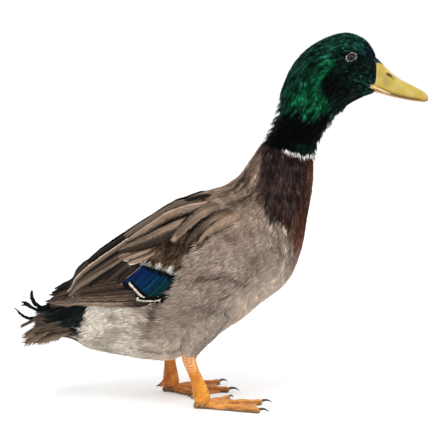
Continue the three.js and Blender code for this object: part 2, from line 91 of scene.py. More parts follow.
def ripple(points, size, seed):
    # smooth wandering values from -1 to 1 over space, with bumps about size mm across
    chance = np.random.default_rng(seed)
    total = 0.0
    for _ in range(7):
        heading = unit(chance.normal(size=3)) * chance.uniform(0.6, 1.6) * 2 * np.pi / (2.2 * size)
        total = total + np.sin(points @ heading + chance.uniform(0, 2 * np.pi))
    return np.clip(total / 3.2, -1, 1)


def uneven(colour, points, amount, size, seed):
    # one colour for points, lighter and darker by a share over bumps of a size in mm
    return np.broadcast_to(colour, points.shape) * (1 + amount * ripple(points, size, seed))[:, None]


def strands(along, angle, length, width, seed):
    # soft streaks that follow the lie: how light, from about -1 to 1; length and width in mm
    flat = np.stack([along * 18.0, angle * 0.55, along * 0], -1)
    wave = 2.2 * ripple(flat, 7.0, seed + 1)
    place = np.stack([flat[..., 0] / length, (flat[..., 1] + wave) / width, along * 0], -1)
    return ripple(place, 1.0, seed)


def setTint(mesh, tint):
    # colours at the mesh's points
    colours = np.ones((len(mesh.vertices), 4), np.float32)
    colours[:, :3] = limit(tint)
    mesh.attributes.new("tint", "FLOAT_COLOR", "POINT").data.foreach_set("color", colours.ravel())


def makeMesh(name, points, quads, triangles, tint=None, maps=None, material=None):
    # a mesh object from arrays in mm, with colours at its points and named UV maps
    parts = [np.asarray(quads, np.int64), np.asarray(triangles, np.int64)]
    corners = np.concatenate([p.ravel() for p in parts])
    sizes = np.repeat([4, 3], [len(p) for p in parts])
    starts = np.concatenate([[0], np.cumsum(sizes)[:-1]])
    mesh = bpy.data.meshes.new(name)
    mesh.vertices.add(len(points))
    mesh.vertices.foreach_set("co", toMetres(points).astype(np.float32).ravel())
    mesh.loops.add(len(corners))
    mesh.loops.foreach_set("vertex_index", corners.astype(np.int32))
    mesh.polygons.add(len(sizes))
    mesh.polygons.foreach_set("loop_start", starts.astype(np.int32))
    mesh.polygons.foreach_set("use_smooth", np.ones(len(sizes), bool))
    mesh.update(calc_edges=True)
    if tint is not None:
        setTint(mesh, tint)
    for key, uv in (maps or {}).items():
        layer = mesh.uv_layers.new(name=key)
        layer.data.foreach_set("uv", np.asarray(uv, np.float32)[corners].ravel())
    if material is not None:
        mesh.materials.append(material)
    piece = bpy.data.objects.new(name, mesh)
    bpy.context.scene.collection.objects.link(piece)
    return piece


def evaluated(piece, name):
    # the piece with its modifiers worked in, as a new plain object
    graph = bpy.context.evaluated_depsgraph_get()
    mesh = bpy.data.meshes.new_from_object(piece.evaluated_get(graph))
    made = bpy.data.objects.new(name, mesh)
    mesh.name = name
    bpy.context.scene.collection.objects.link(made)
    return made


def discard(*pieces):
    for piece in pieces:
        bpy.data.objects.remove(piece)


def gridFaces(rows, columns, wrap=False):
    # quads over a grid of points, row after row
    r = np.arange(rows - 1)[:, None]
    c = np.arange(columns if wrap else columns - 1)[None, :]
    nextColumn = (c + 1) % columns
    a = r * columns + c
    b = r * columns + nextColumn
    return np.stack([a, b, b + columns, a + columns], -1).reshape(-1, 4)


def tubeFaces(rings, sides):
    # quads between rings and a fan at each end, whose middles are the last two points
    quads = gridFaces(rings, sides, wrap=True)
    s = np.arange(sides)
    after = (s + 1) % sides
    first = rings * sides
    lastRing = (rings - 1) * sides
    caps = np.concatenate([
        np.stack([np.full(sides, first), after, s], -1),
        np.stack([np.full(sides, first + 1), lastRing + s, lastRing + after], -1),
    ])
    return quads, caps


def tubePoints(rings):
    # rings (count, sides, 3) and the middles of the two end rings
    rings = np.asarray(rings, float)
    return np.concatenate([rings.reshape(-1, 3), rings[0].mean(0)[None], rings[-1].mean(0)[None]])


def tableAt(places, place, count):
    # the values of a table's first columns at places along it
    return (through(places[:, i], place) for i in range(count))


def flatBox(points):
    # places from 0 to 1 along x and z in the points' own box
    low, high = points.min(0), points.max(0)
    return (points[:, [0, 2]] - low[[0, 2]]) / (high - low)[[0, 2]]


def fromTop(angle):
    # degrees from the ridge of the back, the same on both sides
    return np.abs((np.asarray(angle) + 180) % 360 - 180)


def volumeOf(points, quads, triangles):
    faces = np.concatenate([quads[:, [0, 1, 2]], quads[:, [0, 2, 3]], triangles])
    a, b, c = (points[faces[:, i]] for i in range(3))
    return np.einsum("ij,ij->i", a, np.cross(b, c)).sum() / 6


def closedTube(rings):
    # a closed tube whose faces point outwards
    points = tubePoints(rings)
    quads, triangles = tubeFaces(len(rings), len(rings[0]))
    if volumeOf(points, quads, triangles) < 0:
        quads, triangles = quads[:, ::-1], triangles[:, ::-1]
    return points, quads, triangles


def joined(parts):
    # several (points, quads, triangles) as one
    points, quads, triangles, first = [], [], [], 0
    for p, q, t in parts:
        points.append(p)
        quads.append(q + first)
        triangles.append(t + first)
        first += len(p)
    return np.concatenate(points), np.concatenate(quads), np.concatenate(triangles)


def pathFrame(line):
    # where a path heads, and the level and the upright direction across it
    heading = unit(np.gradient(line, axis=0))
    across = unit(np.array([0.0, 1.0, 0.0]) - heading * heading[:, 1:2])
    return heading, across, np.cross(heading, across)


def ellipse(middle, firstAxis, firstHalf, secondAxis, secondHalf, sides):
    turn = np.linspace(0, 2 * np.pi, sides, endpoint=False)[:, None]
    return middle + firstAxis * firstHalf * np.cos(turn) + secondAxis * secondHalf * np.sin(turn)


# the bird's shape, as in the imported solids
# each row is a section across the body: x, z, lean, height, width, widest
bodyPlaces = np.array([
    [-176.0, 79.0, 3, 26, 56, 0.60],
    [-149.5, 83.6, 3, 38, 52, 0.55],
    [-137.0, 87.8, 6, 68, 74, 0.55],
    [-122.0, 95.0, 5, 90, 88, 0.52],
    [-92.2, 103.6, 6, 119, 106, 0.50],
    [-59.7, 112.4, 9, 142, 117, 0.48],
    [-28.5, 129.8, 11, 144, 120, 0.48],
    [0.6, 145.8, 14, 134, 116, 0.50],
    [24.7, 160.1, 20, 121, 108, 0.50],
    [43.0, 174.6, 26, 114, 97, 0.50],
    [54.2, 195.5, 31, 102.5, 82, 0.50],
    [61.6, 219.2, 38, 82, 66, 0.50],
    [67.5, 240.6, 48, 66, 54, 0.50],
    [70.3, 258.8, 58, 52.5, 45, 0.50],
    [73.9, 271.8, 60, 49.5, 42, 0.50],
    [79.6, 285.6, 61, 52.0, 41, 0.50],
    [87.3, 300.6, 61, 58, 43, 0.52],
    [97.4, 315.1, 58, 66, 46, 0.54],
    [109.3, 326.6, 50, 70.5, 48, 0.52],
    [122.2, 334.6, 39, 69.8, 47, 0.48],
    [137.1, 339.0, 24, 65, 41, 0.44],
    [147.8, 336.2, 10, 52, 31, 0.42],
    [153.8, 328.6, -1, 34, 22, 0.42],
])
lastPlace = len(bodyPlaces) - 1

# a folded wing: place along the body, angles of its upper and lower edge, how far it stands off
wingPlaces = np.array([
    [8.7, 50, 66, 0.0],
    [8.1, 34, 78, 0.4],
    [7.2, 25, 80, 0.6],
    [6.1, 18, 83, 0.4],
    [5.1, 13, 88, 0.4],
    [4.1, 10, 88, 2.4],
    [3.1, 8, 81, 5.6],
    [2.2, 7, 70, 10.0],
    [1.4, 8, 60, 15.0],
    [0.7, 12, 52, 17.0],
    [0.12, 22, 40, 12.0],
])[::-1]

eyePlace = {"along": 19.64, "angle": 72, "sunk": 3.9}


def bodyPoint(along, angle, outside=0.0):
    x, z, lean, height, width, widest = tableAt(bodyPlaces, along, 6)
    lean = np.radians(lean)
    angle = np.radians(angle)
    above = np.where(np.cos(angle) > 0, height * (1 - widest), height * widest)
    up = (above + outside) * np.cos(angle) + height * (widest - 0.5)
    side = (width / 2 + outside) * np.sin(angle)
    return np.stack([x - np.sin(lean) * up, side, z + np.cos(lean) * up], -1)


def wingLift(along, angle):
    upper, lower, lift = (np.interp(along, wingPlaces[:, 0], wingPlaces[:, i]) for i in (1, 2, 3))
    share = limit((np.abs(angle) - upper) / (lower - upper))
    return lift * (1 - 0.55 * share)


def wingPoint(along, angle, outside=0.0):
    return bodyPoint(along, angle, wingLift(along, angle) + outside)


tailSizes = {"length": 51, "tipWidth": 54, "fall": 26, "droop": 13, "rounding": 6}


def tailPoint(back, side, outside=0.0):
    # over the tail: back runs from its root 0 to its tip 1, side from -1 to 1
    rootX, rootZ, lean, rootHeight, rootWidth, _ = bodyPlaces[1]
    lean = math.radians(lean)
    side = np.asarray(side, float)
    back = np.asarray(back, float)
    halfWidth = (rootWidth + (tailSizes["tipWidth"] - rootWidth) * np.clip(back, 0, 1.2) ** 1.1) / 2
    arch = (1 - back) * (rootHeight / 2) * (1 - np.sqrt(limit(1 - side**2)))
    hang = tailSizes["droop"] * np.sqrt(np.clip(back, 0, None)) * side**2 + np.maximum(arch, 0)
    up = rootHeight / 2 - tailSizes["fall"] * back - hang + outside
    run = back * (tailSizes["length"] - tailSizes["rounding"] * side**2)
    x = rootX - run - math.sin(lean) * up
    z = rootZ - 0.2 * run * math.tan(lean) + math.cos(lean) * up
    return np.stack([x, halfWidth * side, z], -1)


legPlaces = {
    "right": np.array([
        [-14, -31, 96, 22, 15],
        [-21, -34, 80, 18, 15],
        [-27, -36, 66, 12, 12],
        [-30.2, -37, 56, 8.4, 8.4],
        [-30.2, -37, 48, 6.9, 6.4],
        [-26.9, -37.1, 38, 5.8, 4.9],
        [-23.0, -37.3, 28, 6.2, 5.1],
        [-19.6, -37.4, 17, 7.7, 6.2],
        [-17.5, -37.6, 9, 8.3, 7.6],
        [-16.9, -37.6, 4, 7.0, 7.0],
    ]),
    "left": np.array([
        [-36, 31, 96, 22, 15],
        [-43, 34, 80, 18, 15],
        [-49, 36, 66, 12, 12],
        [-52.4, 37, 56, 8.4, 8.4],
        [-53.2, 37, 48, 6.9, 6.4],
        [-52.2, 37, 38, 5.8, 4.9],
        [-51.6, 37, 28, 6.2, 5.1],
        [-51.0, 37, 17, 7.7, 6.2],
        [-50.6, 37, 9, 8.3, 7.6],
        [-50.4, 37, 4, 7.0, 7.0],
    ]),
}
hockPlace = 3.2


def legPoint(side, place, angle, outside=0.0):
    # angle 0 is the front of the leg, 90 its left
    places = legPlaces[side]
    middle = np.stack(list(tableAt(places, place, 3)), -1)
    ahead = np.stack(list(tableAt(places, np.asarray(place) + 0.02, 3)), -1)
    down = unit(ahead - middle)
    across = unit(np.array([0.0, 1.0, 0.0]) - down * down[..., 1:2])
    forward = unit(np.cross(across, down))
    turn = np.radians(angle)[..., None]
    front = (through(places[:, 3], place) + outside)[..., None]
    wide = (through(places[:, 4], place) + outside)[..., None]
    return middle + forward * front * np.cos(turn) + across * wide * np.sin(turn)


def surfaceFrame(sheet, u, v, flip=1.0, stepU=0.01, stepV=0.5):
    # point, outward normal and the two directions of a sheet, which hold its millimetres per unit
    point = sheet(u, v)
    alongU = (sheet(u + stepU, v) - point) / stepU
    alongV = (sheet(u, v + stepV) - point) / stepV
    normal = unit(np.cross(alongU, alongV)) * flip
    return point, normal, alongU, alongV


# colours of the plumage, linear
plumage = {
    "flank": (0.44, 0.345, 0.285),
    "flankDark": (0.31, 0.235, 0.188),
    "belly": (0.76, 0.63, 0.52),
    "vent": (0.88, 0.80, 0.69),
    "ventShade": (0.46, 0.385, 0.31),
    "mantle": (0.20, 0.136, 0.100),
    "mantleLight": (0.60, 0.43, 0.32),
    "shoulder": (0.41, 0.295, 0.230),
    "breast": (0.022, 0.013, 0.011),
    "breastPaleAndHighlight": (0.098, 0.066, 0.058),
    "chestnut": (0.135, 0.057, 0.036),
    "ring": (1.25, 1.22, 1.16),
    "black": (0.0010, 0.0014, 0.0014),
    "green": (0.004, 0.040, 0.020),
    "greenSheen": (0.008, 0.205, 0.076),
    "crown": (0.010, 0.070, 0.047),
    "face": (0.005, 0.017, 0.014),
    "navy": (0.004, 0.009, 0.030),
    "wedge": (0.0020, 0.0030, 0.0026),
    "rump": (0.0105, 0.0170, 0.0170),
    "tail": (0.150, 0.106, 0.075),
    "wingBrown": (0.110, 0.078, 0.056),
}
markings = {
    "neckLow": ([0, 32, 55, 79, 142, 180], [11.55, 11.75, 12.10, 12.44, 13.02, 13.2]),  # black down to here
    "ringWidth": ([0, 66, 80, 110, 180], [0.0, 0.02, 0.10, 0.15, 0.17]),
    "greenLow": ([0, 35, 60, 80, 100, 120, 140], [14.1, 14.2, 14.9, 15.0, 15.05, 15.2, 15.9]),
    "greenHigh": (
        [0, 40, 60, 77, 84, 92, 102, 122, 135], [18.6, 18.6, 18.9, 18.6, 17.7, 17.0, 16.6, 16.7, 16.2]
    ),
    "sheenStripe": ([15.2, 15.9, 16.4, 16.8, 17.4, 17.9, 18.4], [60, 70, 79, 83, 83, 80, 76]),
    "breastFrom": (
        [0, 36, 42, 49, 60, 70, 89, 100, 112, 130, 180],
        [12.0, 11.1, 10.6, 10.1, 9.75, 9.55, 9.4, 9.55, 9.85, 9.8, 9.65],
    ),
    "breastFade": ([0, 55, 85, 180], [0.95, 0.75, 0.16, 0.12]),  # how far the brown fades in
    "ventFrom": 4.3,
    "rumpFrom": ([0, 60, 85, 112, 150, 180], [2.9, 2.75, 2.5, 1.55, 1.25, 1.15]),
}
# places on the coat that stand apart: a path of (along, angle), its reach in mm, how much lighter (over 1)
# or darker it is, as painted light on bulges and painted shade in creases and slits, and how far the
# tufts' tips are lifted or sunk there
folds = [
    (((6.2, 88), (6.55, 94), (6.92, 101.5), (7.35, 114), (7.65, 124)), 1.7, 0.30, -2.4),
    (((6.6, 88), (7.1, 98), (7.6, 110), (7.9, 121)), 3.0, 1.16, 1.2),
    (((9.5, 92), (9.65, 106), (9.62, 119), (9.29, 131), (8.84, 137), (8.2, 139)), 2.2, 1.45, 0.9),
    (((9.25, 98), (9.3, 112), (9.0, 124)), 3.2, 0.72, -1.2),
    (((8.35, 42.8), (9.01, 47.5), (9.7, 54)), 1.6, 0.16, -1.2),
    (((8.9, 42), (9.4, 45)), 1.3, 0.2, -0.8),
    (((7.38, 69.5), (7.61, 77.2)), 3.6, 0.50, -0.8),
    (((8.25, 103), (8.05, 104.5)), 4.5, 0.70, -0.4),
    (((6.57, 115), (7.03, 119.5)), 1.8, 0.55, -0.8),
    (((5.81, 108), (6.1, 115), (6.40, 123.5)), 1.7, 0.45, -1.8),
    (((6.61, 129.8), (7.06, 136)), 2.0, 0.62, -0.6),
    (((4.80, 87), (4.76, 94), (4.66, 101)), 4.6, 0.30, -2.2),
    (((4.66, 101), (4.48, 111), (4.38, 121)), 3.6, 0.58, -1.6),
    (((5.6, 96), (5.5, 106), (5.3, 116)), 5.0, 1.12, 1.4),
    (((6.05, 120), (6.0, 131), (6.05, 146)), 1.8, 0.58, -1.2),
    (((4.3, 142), (5.0, 144), (5.6, 147)), 4.0, 0.62, 0.0),
    (((6.9, 112), (6.6, 122), (6.2, 131)), 1.6, 0.60, -1.0),
    (((7.43, 58), (7.75, 63), (8.0, 64)), 4.2, 1.30, 0.8),
    (((5.6, 95), (6.1, 97), (6.5, 98)), 3.5, 1.12, 0.4),
]


coatSpan = np.array([31.0, 1.15])  # about how many mm a place along and a degree round are on the flank


def foldEffect(along, angle):
    # the painted shade or light (1 is none) and lift in mm that the folds give at places of the coat
    a = fromTop(angle)
    here = np.stack([np.asarray(along), a], -1) * coatSpan
    shade = np.ones(a.shape)
    lift = np.zeros(a.shape)
    for path, reach, foldShade, foldLift in folds:
        path = np.array(path) * coatSpan
        nearest = np.full(a.shape, np.inf)
        for first, last in zip(path[:-1], path[1:]):
            span = last - first
            share = limit(((here - first) @ span) / (span @ span))
            nearest = np.minimum(nearest, np.linalg.norm(here - first - share[..., None] * span, axis=-1))
        effect = np.exp(-((nearest / reach) ** 2))
        shade = shade * (1 + (foldShade - 1) * effect)
        lift = lift + foldLift * effect
    return shade, lift


def plumageColour(along, angle, points):
    # colour of the coat or skin at places of the body
    a = fromTop(angle)
    fray = ripple(points, 5, 3)
    s = along + 0.05 * fray
    patch = ripple(points, 16, 5)
    fine = ripple(points, 6, 6)
    colour = mix(plumage["flank"], plumage["flankDark"], limit(0.30 + 0.42 * patch + 0.30 * fine))
    colour = colour * (1.10 - 0.16 * smooth(a, 84, 116))[..., None]
    colour = mix(colour, plumage["belly"], smooth(a, 108, 146) * (1 - smooth(s, 8.2, 9.8)))
    pale = mix(plumage["vent"], plumage["ventShade"], limit(0.22 + 0.40 * patch + 0.40 * fine))
    colour = mix(colour, pale, (1 - smooth(s, 3.5, markings["ventFrom"] + 0.5)) * smooth(a, 62, 80))
    shoulder = smooth(s, 5.9, 7.6) * (1 - smooth(a, 70, 96))
    colour = mix(colour, plumage["shoulder"], shoulder * limit(0.75 + 0.4 * patch))
    lines = strands(along, a, 14.0, 2.4, 25)
    mantle = mix(
        plumage["mantle"], plumage["mantleLight"], limit(0.22 + 0.35 * patch + 0.35 * fine + 0.35 * lines)
    )
    mantle = mantle * (1 - 0.6 * smooth(-lines, 0.45, 0.9))[..., None]
    mantleEdge = np.interp(s, [6.5, 7.6, 8.6, 9.4, 10, 11, 12.5], [36, 44, 56, 66, 70, 60, 50])
    colour = mix(colour, mantle, 1 - smooth(a + 6 * fray + 5 * patch, mantleEdge - 9, mantleEdge + 9))
    colour = mix(colour, plumage["wingBrown"], (1 - smooth(s, 6.0, 6.9)) * (1 - smooth(a, 30, 42)))
    breastEdge = np.interp(a, *markings["breastFrom"])
    fade = np.interp(a, *markings["breastFade"])
    streak = strands(along, a, 7.0, 2.6, 21)
    # the dark breast with paler streaks, partly its own streaks and partly painted highlight
    brown = mix(
        plumage["breast"], plumage["breastPaleAndHighlight"], limit(0.20 + 0.30 * fine + 0.25 * patch + 0.35 * streak)
    )
    brown = mix(brown, plumage["chestnut"], smooth(a + 10 * fine, 118, 152) * limit(0.75 + 0.4 * streak))
    rusty = (1 - smooth(s, 9.9, 10.7)) * smooth(a, 90, 110) * limit(0.45 + 0.6 * streak)
    brown = mix(brown, np.multiply(plumage["chestnut"], 1.7), rusty)
    colour = mix(colour, brown, smooth(s - breastEdge + 0.09 * patch + 0.10 * streak, -fade, 0.20))
    rumpEdge = np.interp(a, *markings["rumpFrom"])
    # brown below it, black above
    tailLine = points[..., 2] - 71 + 0.515 * (points[..., 0] + 145) + 2.5 * fray
    rump = mix(plumage["tail"], plumage["rump"], smooth(tailLine, -1.5, 1.5))
    rump = rump * np.exp(0.5 * strands(along, a, 9.0, 2.2, 27))[..., None]
    colour = mix(colour, rump, 1 - smooth(s + 0.10 * fine + 0.10 * streak, rumpEdge - 0.05, rumpEdge + 0.05))
    neckLow = np.interp(a, *markings["neckLow"])
    ringWidth = np.interp(a, *markings["ringWidth"])
    ring = smooth(s, neckLow - ringWidth - 0.02, neckLow - ringWidth + 0.02) * smooth(ringWidth, 0.03, 0.08)
    colour = mix(colour, plumage["ring"], ring * limit(1.5 + 0.9 * fine))
    head = headColour(s, a, points)
    return mix(colour, head, smooth(s, neckLow - 0.03, neckLow + 0.03))


def headColour(s, a, points):
    fine = ripple(points, 4, 8)
    broad = ripple(points, 11, 9)
    streak = strands(s, a, 9.0, 2.4, 23)
    colour = np.broadcast_to(plumage["black"], points.shape).copy()
    low = np.interp(a, *markings["greenLow"])
    high = np.interp(a, *markings["greenHigh"])
    face = mix(plumage["face"], plumage["crown"], 1 - smooth(a, 48, 78))
    face = mix(face, plumage["crown"], smooth(s, 18.5, 19.5) * smooth(a, 96, 112) * 0.5)
    face = mix(face, plumage["navy"], smooth(s, 20.2, 21.2) * limit(0.5 + 0.9 * broad))
    wedge = smooth(a, 80, 92) * (1 - smooth(a, 118, 132)) * (1 - smooth(s, 17.6, 18.4))
    face = mix(face, plumage["wedge"], wedge)
    # painted shade in the gaps between the face's feather clumps
    clumpGapShade = strands(s, a, 3.4, 1.5, 29)
    face = face * np.exp(0.55 * streak)[..., None] * (1 - 0.75 * smooth(clumpGapShade, 0.05, 0.55))[..., None]
    colour = mix(colour, face, smooth(s, high - 0.35, high + 0.35) * smooth(s, 15.6, 16.4))
    green = smooth(s + 0.25 * streak, low - 0.25, low + 0.35) * (1 - smooth(s, high - 0.3, high + 0.35))
    shade = mix(plumage["green"], plumage["crown"], limit(0.25 + 0.6 * fine + 0.2 * broad))
    # painted shade in the gaps between strands of the green
    gaps = 1 - 0.88 * smooth(strands(s, a, 8.0, 1.9, 31), 0.20, 0.62)
    shade = shade * np.exp(0.85 * np.clip(streak, -1.5, 0.9))[..., None] * gaps[..., None]
    # painted sheen: a bright green band and a patch on the green of the head
    sheenStripe = np.exp(-(((a - np.interp(s, *markings["sheenStripe"])) / 9.0) ** 2)) * smooth(s, 15.0, 15.6)
    patch = np.exp(-(((a - 104) / 17) ** 2) - ((s - 15.9) / 0.75) ** 2)
    glow = limit(sheenStripe * (1 - smooth(s, 18.3, 18.9)) + patch) * limit(0.75 + 0.5 * fine)
    shade = mix(
        shade, plumage["greenSheen"] * np.exp(0.35 * streak)[..., None] * (0.3 + 0.7 * gaps[..., None]), glow
    )
    colour = mix(colour, shade, green)
    neckLow = np.interp(a, *markings["neckLow"])
    # painted sheen: a green tinge at the foot of the black neck, just above the ring
    ringSheen = between(s, neckLow, neckLow + 0.6, 0.2)
    return mix(colour, plumage["green"], ringSheen * smooth(a, 80, 120) * 0.35)


def fill(tree, node, inputs):
    # each input gets a value or, where an output is given, a link from it
    for key, source in inputs.items():
        if isinstance(source, bpy.types.NodeSocket):
            tree.links.new(source, node.inputs[key])
        else:
            node.inputs[key].default_value = source


def addNode(tree, kind, inputs=None, **settings):
    node = tree.nodes.new(kind)
    for key, value in settings.items():
        setattr(node, key, value)
    fill(tree, node, inputs or {})
    return node


def addMath(tree, operation, *terms, kind="ShaderNodeMath"):
    return addNode(tree, kind, dict(enumerate(terms)), operation=operation).outputs[0]


def addScale(tree, vector, factor):
    inputs = {0: vector, "Scale": factor}
    return addNode(tree, "ShaderNodeVectorMath", inputs, operation="SCALE").outputs[0]


def addRange(tree, value, toLow, toHigh, fromLow=0.0, fromHigh=1.0):
    inputs = {"Value": value, "From Min": fromLow, "From Max": fromHigh, "To Min": toLow, "To Max": toHigh}
    return addNode(tree, "ShaderNodeMapRange", inputs).outputs["Result"]


def addNoise(tree, place, scale, detail=2.0):
    inputs = {"Vector": place, "Scale": scale, "Detail": detail}
    return addNode(tree, "ShaderNodeTexNoise", inputs).outputs["Fac"]


def addBump(tree, height, strength):
    inputs = {"Height": height, "Strength": strength, "Distance": 0.0003}
    return addNode(tree, "ShaderNodeBump", inputs).outputs["Normal"]


def addTint(tree, *factors):
    # the colour at the points, scaled by each factor
    colour = addNode(tree, "ShaderNodeAttribute", attribute_name="tint").outputs["Color"]
    for factor in factors:
        colour = addScale(tree, colour, factor)
    return colour


def objectPlace(tree):
    return addNode(tree, "ShaderNodeTexCoord").outputs["Object"]


def startMaterial(name):
    material = bpy.data.materials.new(name)
    material.use_nodes = True
    tree = material.node_tree
    return material, tree, tree.nodes.get("Principled BSDF") or tree.nodes.new("ShaderNodeBsdfPrincipled")


def startGroup(name, inputs, outputs):
    group = bpy.data.node_groups.new(name, "ShaderNodeTree")
    for key, value in inputs.items():
        socket = group.interface.new_socket(key, in_out="INPUT", socket_type="NodeSocketFloat")
        socket.default_value = value
    for key in outputs:
        group.interface.new_socket(key, in_out="OUTPUT", socket_type="NodeSocketFloat")
    return group, group.nodes.new("NodeGroupInput").outputs, group.nodes.new("NodeGroupOutput")


def barbStreakGroup():
    # fine streaks along the barbs of a feather, from its own map
    inputs = {"Slant": 0.0, "Along": 2.0, "Across": 20.0}
    group, given, leave = startGroup("barbStreaks", inputs, ("Streak", "Broad"))
    place = addNode(group, "ShaderNodeUVMap", uv_map="vaneMap").outputs["UV"]
    split = addNode(group, "ShaderNodeSeparateXYZ", {0: place}).outputs
    lean = addMath(group, "MULTIPLY", addMath(group, "ABSOLUTE", split["X"]), given["Slant"])
    run = addMath(group, "MULTIPLY", addMath(group, "SUBTRACT", split["Y"], lean), given["Along"])
    side = addMath(group, "MULTIPLY", split["X"], given["Across"])
    barbs = addNode(group, "ShaderNodeCombineXYZ", {"X": run, "Y": side}).outputs[0]
    fine = addNoise(group, barbs, 1.0, 3.0)
    fill(group, leave, {"Streak": fine, "Broad": addNoise(group, place, 0.9, 1.0)})
    return group


def mottleGroup():
    # a fine unevenness over the surface, from object coordinates
    inputs = {"Scale": 200.0, "Low": 0.9, "High": 1.1}
    group, given, leave = startGroup("mottle", inputs, ("Factor", "Height"))
    noise = addNoise(group, objectPlace(group), given["Scale"], 4.0)
    factor = addRange(group, noise, given["Low"], given["High"], 0.3, 0.7)
    fill(group, leave, {"Factor": factor, "Height": noise})
    return group


barbStreaks = barbStreakGroup()
mottle = mottleGroup()


def addMottle(tree, scale, low, high):
    inputs = {"Scale": scale, "Low": low, "High": high}
    return addNode(tree, "ShaderNodeGroup", inputs, node_tree=mottle).outputs


def plumageMaterial(name, look):
    material, tree, shader = startMaterial(name)
    fine = {"Slant": look["slant"], "Along": look["along"], "Across": look["across"]}
    barbs = addNode(tree, "ShaderNodeGroup", fine, node_tree=barbStreaks).outputs
    contrast = addRange(tree, barbs["Streak"], 1 - look["contrast"], 1 + look["contrast"], 0.28, 0.72)
    uneven = addMottle(tree, 90.0, 1 - look["mottle"], 1 + look["mottle"])["Factor"]
    fill(tree, shader, {
        "Base Color": addTint(tree, contrast, uneven),
        "Roughness": addRange(tree, barbs["Broad"], look["roughness"] - 0.08, look["roughness"] + 0.08),
        "Normal": addBump(tree, barbs["Streak"], look["bump"]),
        "Metallic": look["metallic"],
        "Specular IOR Level": look["specular"],
        "Sheen Weight": look["sheen"],
        "Sheen Roughness": 0.45,
    })
    return material


softLook = {
    "slant": 0.0, "along": 0.6, "across": 14.0, "contrast": 0.28, "mottle": 0.08,
    "roughness": 0.80, "bump": 0.3, "metallic": 0.0, "specular": 0.05, "sheen": 0.0,
}
glossLook = dict(softLook, contrast=0.45, roughness=0.40, metallic=0.35, specular=0.06)
vaneLook = dict(
    softLook, slant=0.9, along=8.0, across=1.2, contrast=0.36, roughness=0.62, specular=0.08, bump=0.6,
)
mirrorLook = dict(vaneLook, roughness=0.42, metallic=0.4, specular=0.06, contrast=0.6)

softPlumage = plumageMaterial("softPlumage", softLook)
glossPlumage = plumageMaterial("glossPlumage", glossLook)
vanePlumage = plumageMaterial("vanePlumage", vaneLook)
mirrorPlumage = plumageMaterial("mirrorPlumage", mirrorLook)


def skinMaterial(name):
    # bare skin and down: colour from the points, plates and cells on the legs
    material, tree, shader = startMaterial(name)
    bare = addNode(tree, "ShaderNodeAttribute", attribute_name="bare").outputs["Fac"]
    inputs = {"Vector": objectPlace(tree), "Scale": 620.0}
    cells = addNode(tree, "ShaderNodeTexVoronoi", inputs, feature="DISTANCE_TO_EDGE")
    seam = addRange(tree, cells.outputs["Distance"], 0.70, 1.0, 0.0, 0.18)
    amount = addNode(tree, "ShaderNodeMix", {0: bare, 2: 1.0, 3: seam}, data_type="FLOAT").outputs[0]
    fill(tree, shader, {
        "Base Color": addTint(tree, amount, addMottle(tree, 260.0, 0.86, 1.12)["Factor"]),
        "Normal": addBump(tree, amount, 0.5),
        "Roughness": addRange(tree, bare, 0.8, 0.42),
        "Specular IOR Level": 0.35,
        "Subsurface Weight": 0.05,
        "Subsurface Radius": (0.002, 0.001, 0.0006),
    })
    return material


def hornMaterial(name, roughness, low, high, scale, bumpStrength, subsurface=0.0):
    # bill, claws and lids: colour from the points with a fine unevenness
    material, tree, shader = startMaterial(name)
    uneven = addMottle(tree, scale, low, high)
    fill(tree, shader, {
        "Base Color": addTint(tree, uneven["Factor"]),
        "Roughness": addRange(tree, uneven["Height"], roughness - 0.07, roughness + 0.07),
        "Normal": addBump(tree, uneven["Height"], bumpStrength),
        "Subsurface Weight": subsurface,
        "Subsurface Radius": (0.002, 0.001, 0.0005),
    })
    return material


def eyeMaterial(name, middle):
    # a black pupil in a dark brown iris, by distance from the eye's axis
    material, tree, shader = startMaterial(name)
    place = objectPlace(tree)
    offset = addMath(tree, "SUBTRACT", place, tuple(middle), kind="ShaderNodeVectorMath")
    flat = addMath(tree, "MULTIPLY", offset, (1, 0, 1), kind="ShaderNodeVectorMath")
    length = addNode(tree, "ShaderNodeVectorMath", {0: flat}, operation="LENGTH").outputs["Value"]
    share = addMath(tree, "MULTIPLY", length, 200.0)  # 5 mm from the axis is the ramp's end
    uneven = addMath(tree, "MULTIPLY_ADD", addNoise(tree, place, 1500.0), 0.12, share)
    ramp = addNode(tree, "ShaderNodeValToRGB", {"Fac": uneven})
    stops = ramp.color_ramp.elements
    stops[0].position = 0.34
    stops[0].color = (0.001, 0.001, 0.001, 1)
    stops[1].position = 0.42
    stops[1].color = (0.060, 0.040, 0.032, 1)
    stops.new(0.72).color = (0.010, 0.006, 0.004, 1)
    fill(tree, shader, {"Base Color": ramp.outputs["Color"], "Roughness": 0.03, "Specular IOR Level": 0.12})
    return material


skinFinish = skinMaterial("skinAndScales")
billFinish = hornMaterial("billSkin", 0.42, 0.93, 1.05, 420.0, 0.10, subsurface=0.08)
clawFinish = hornMaterial("clawHorn", 0.38, 0.75, 1.2, 900.0, 0.2)
lidFinish = hornMaterial("lidSkin", 0.55, 0.85, 1.15, 1500.0, 0.3)
print("materials made")


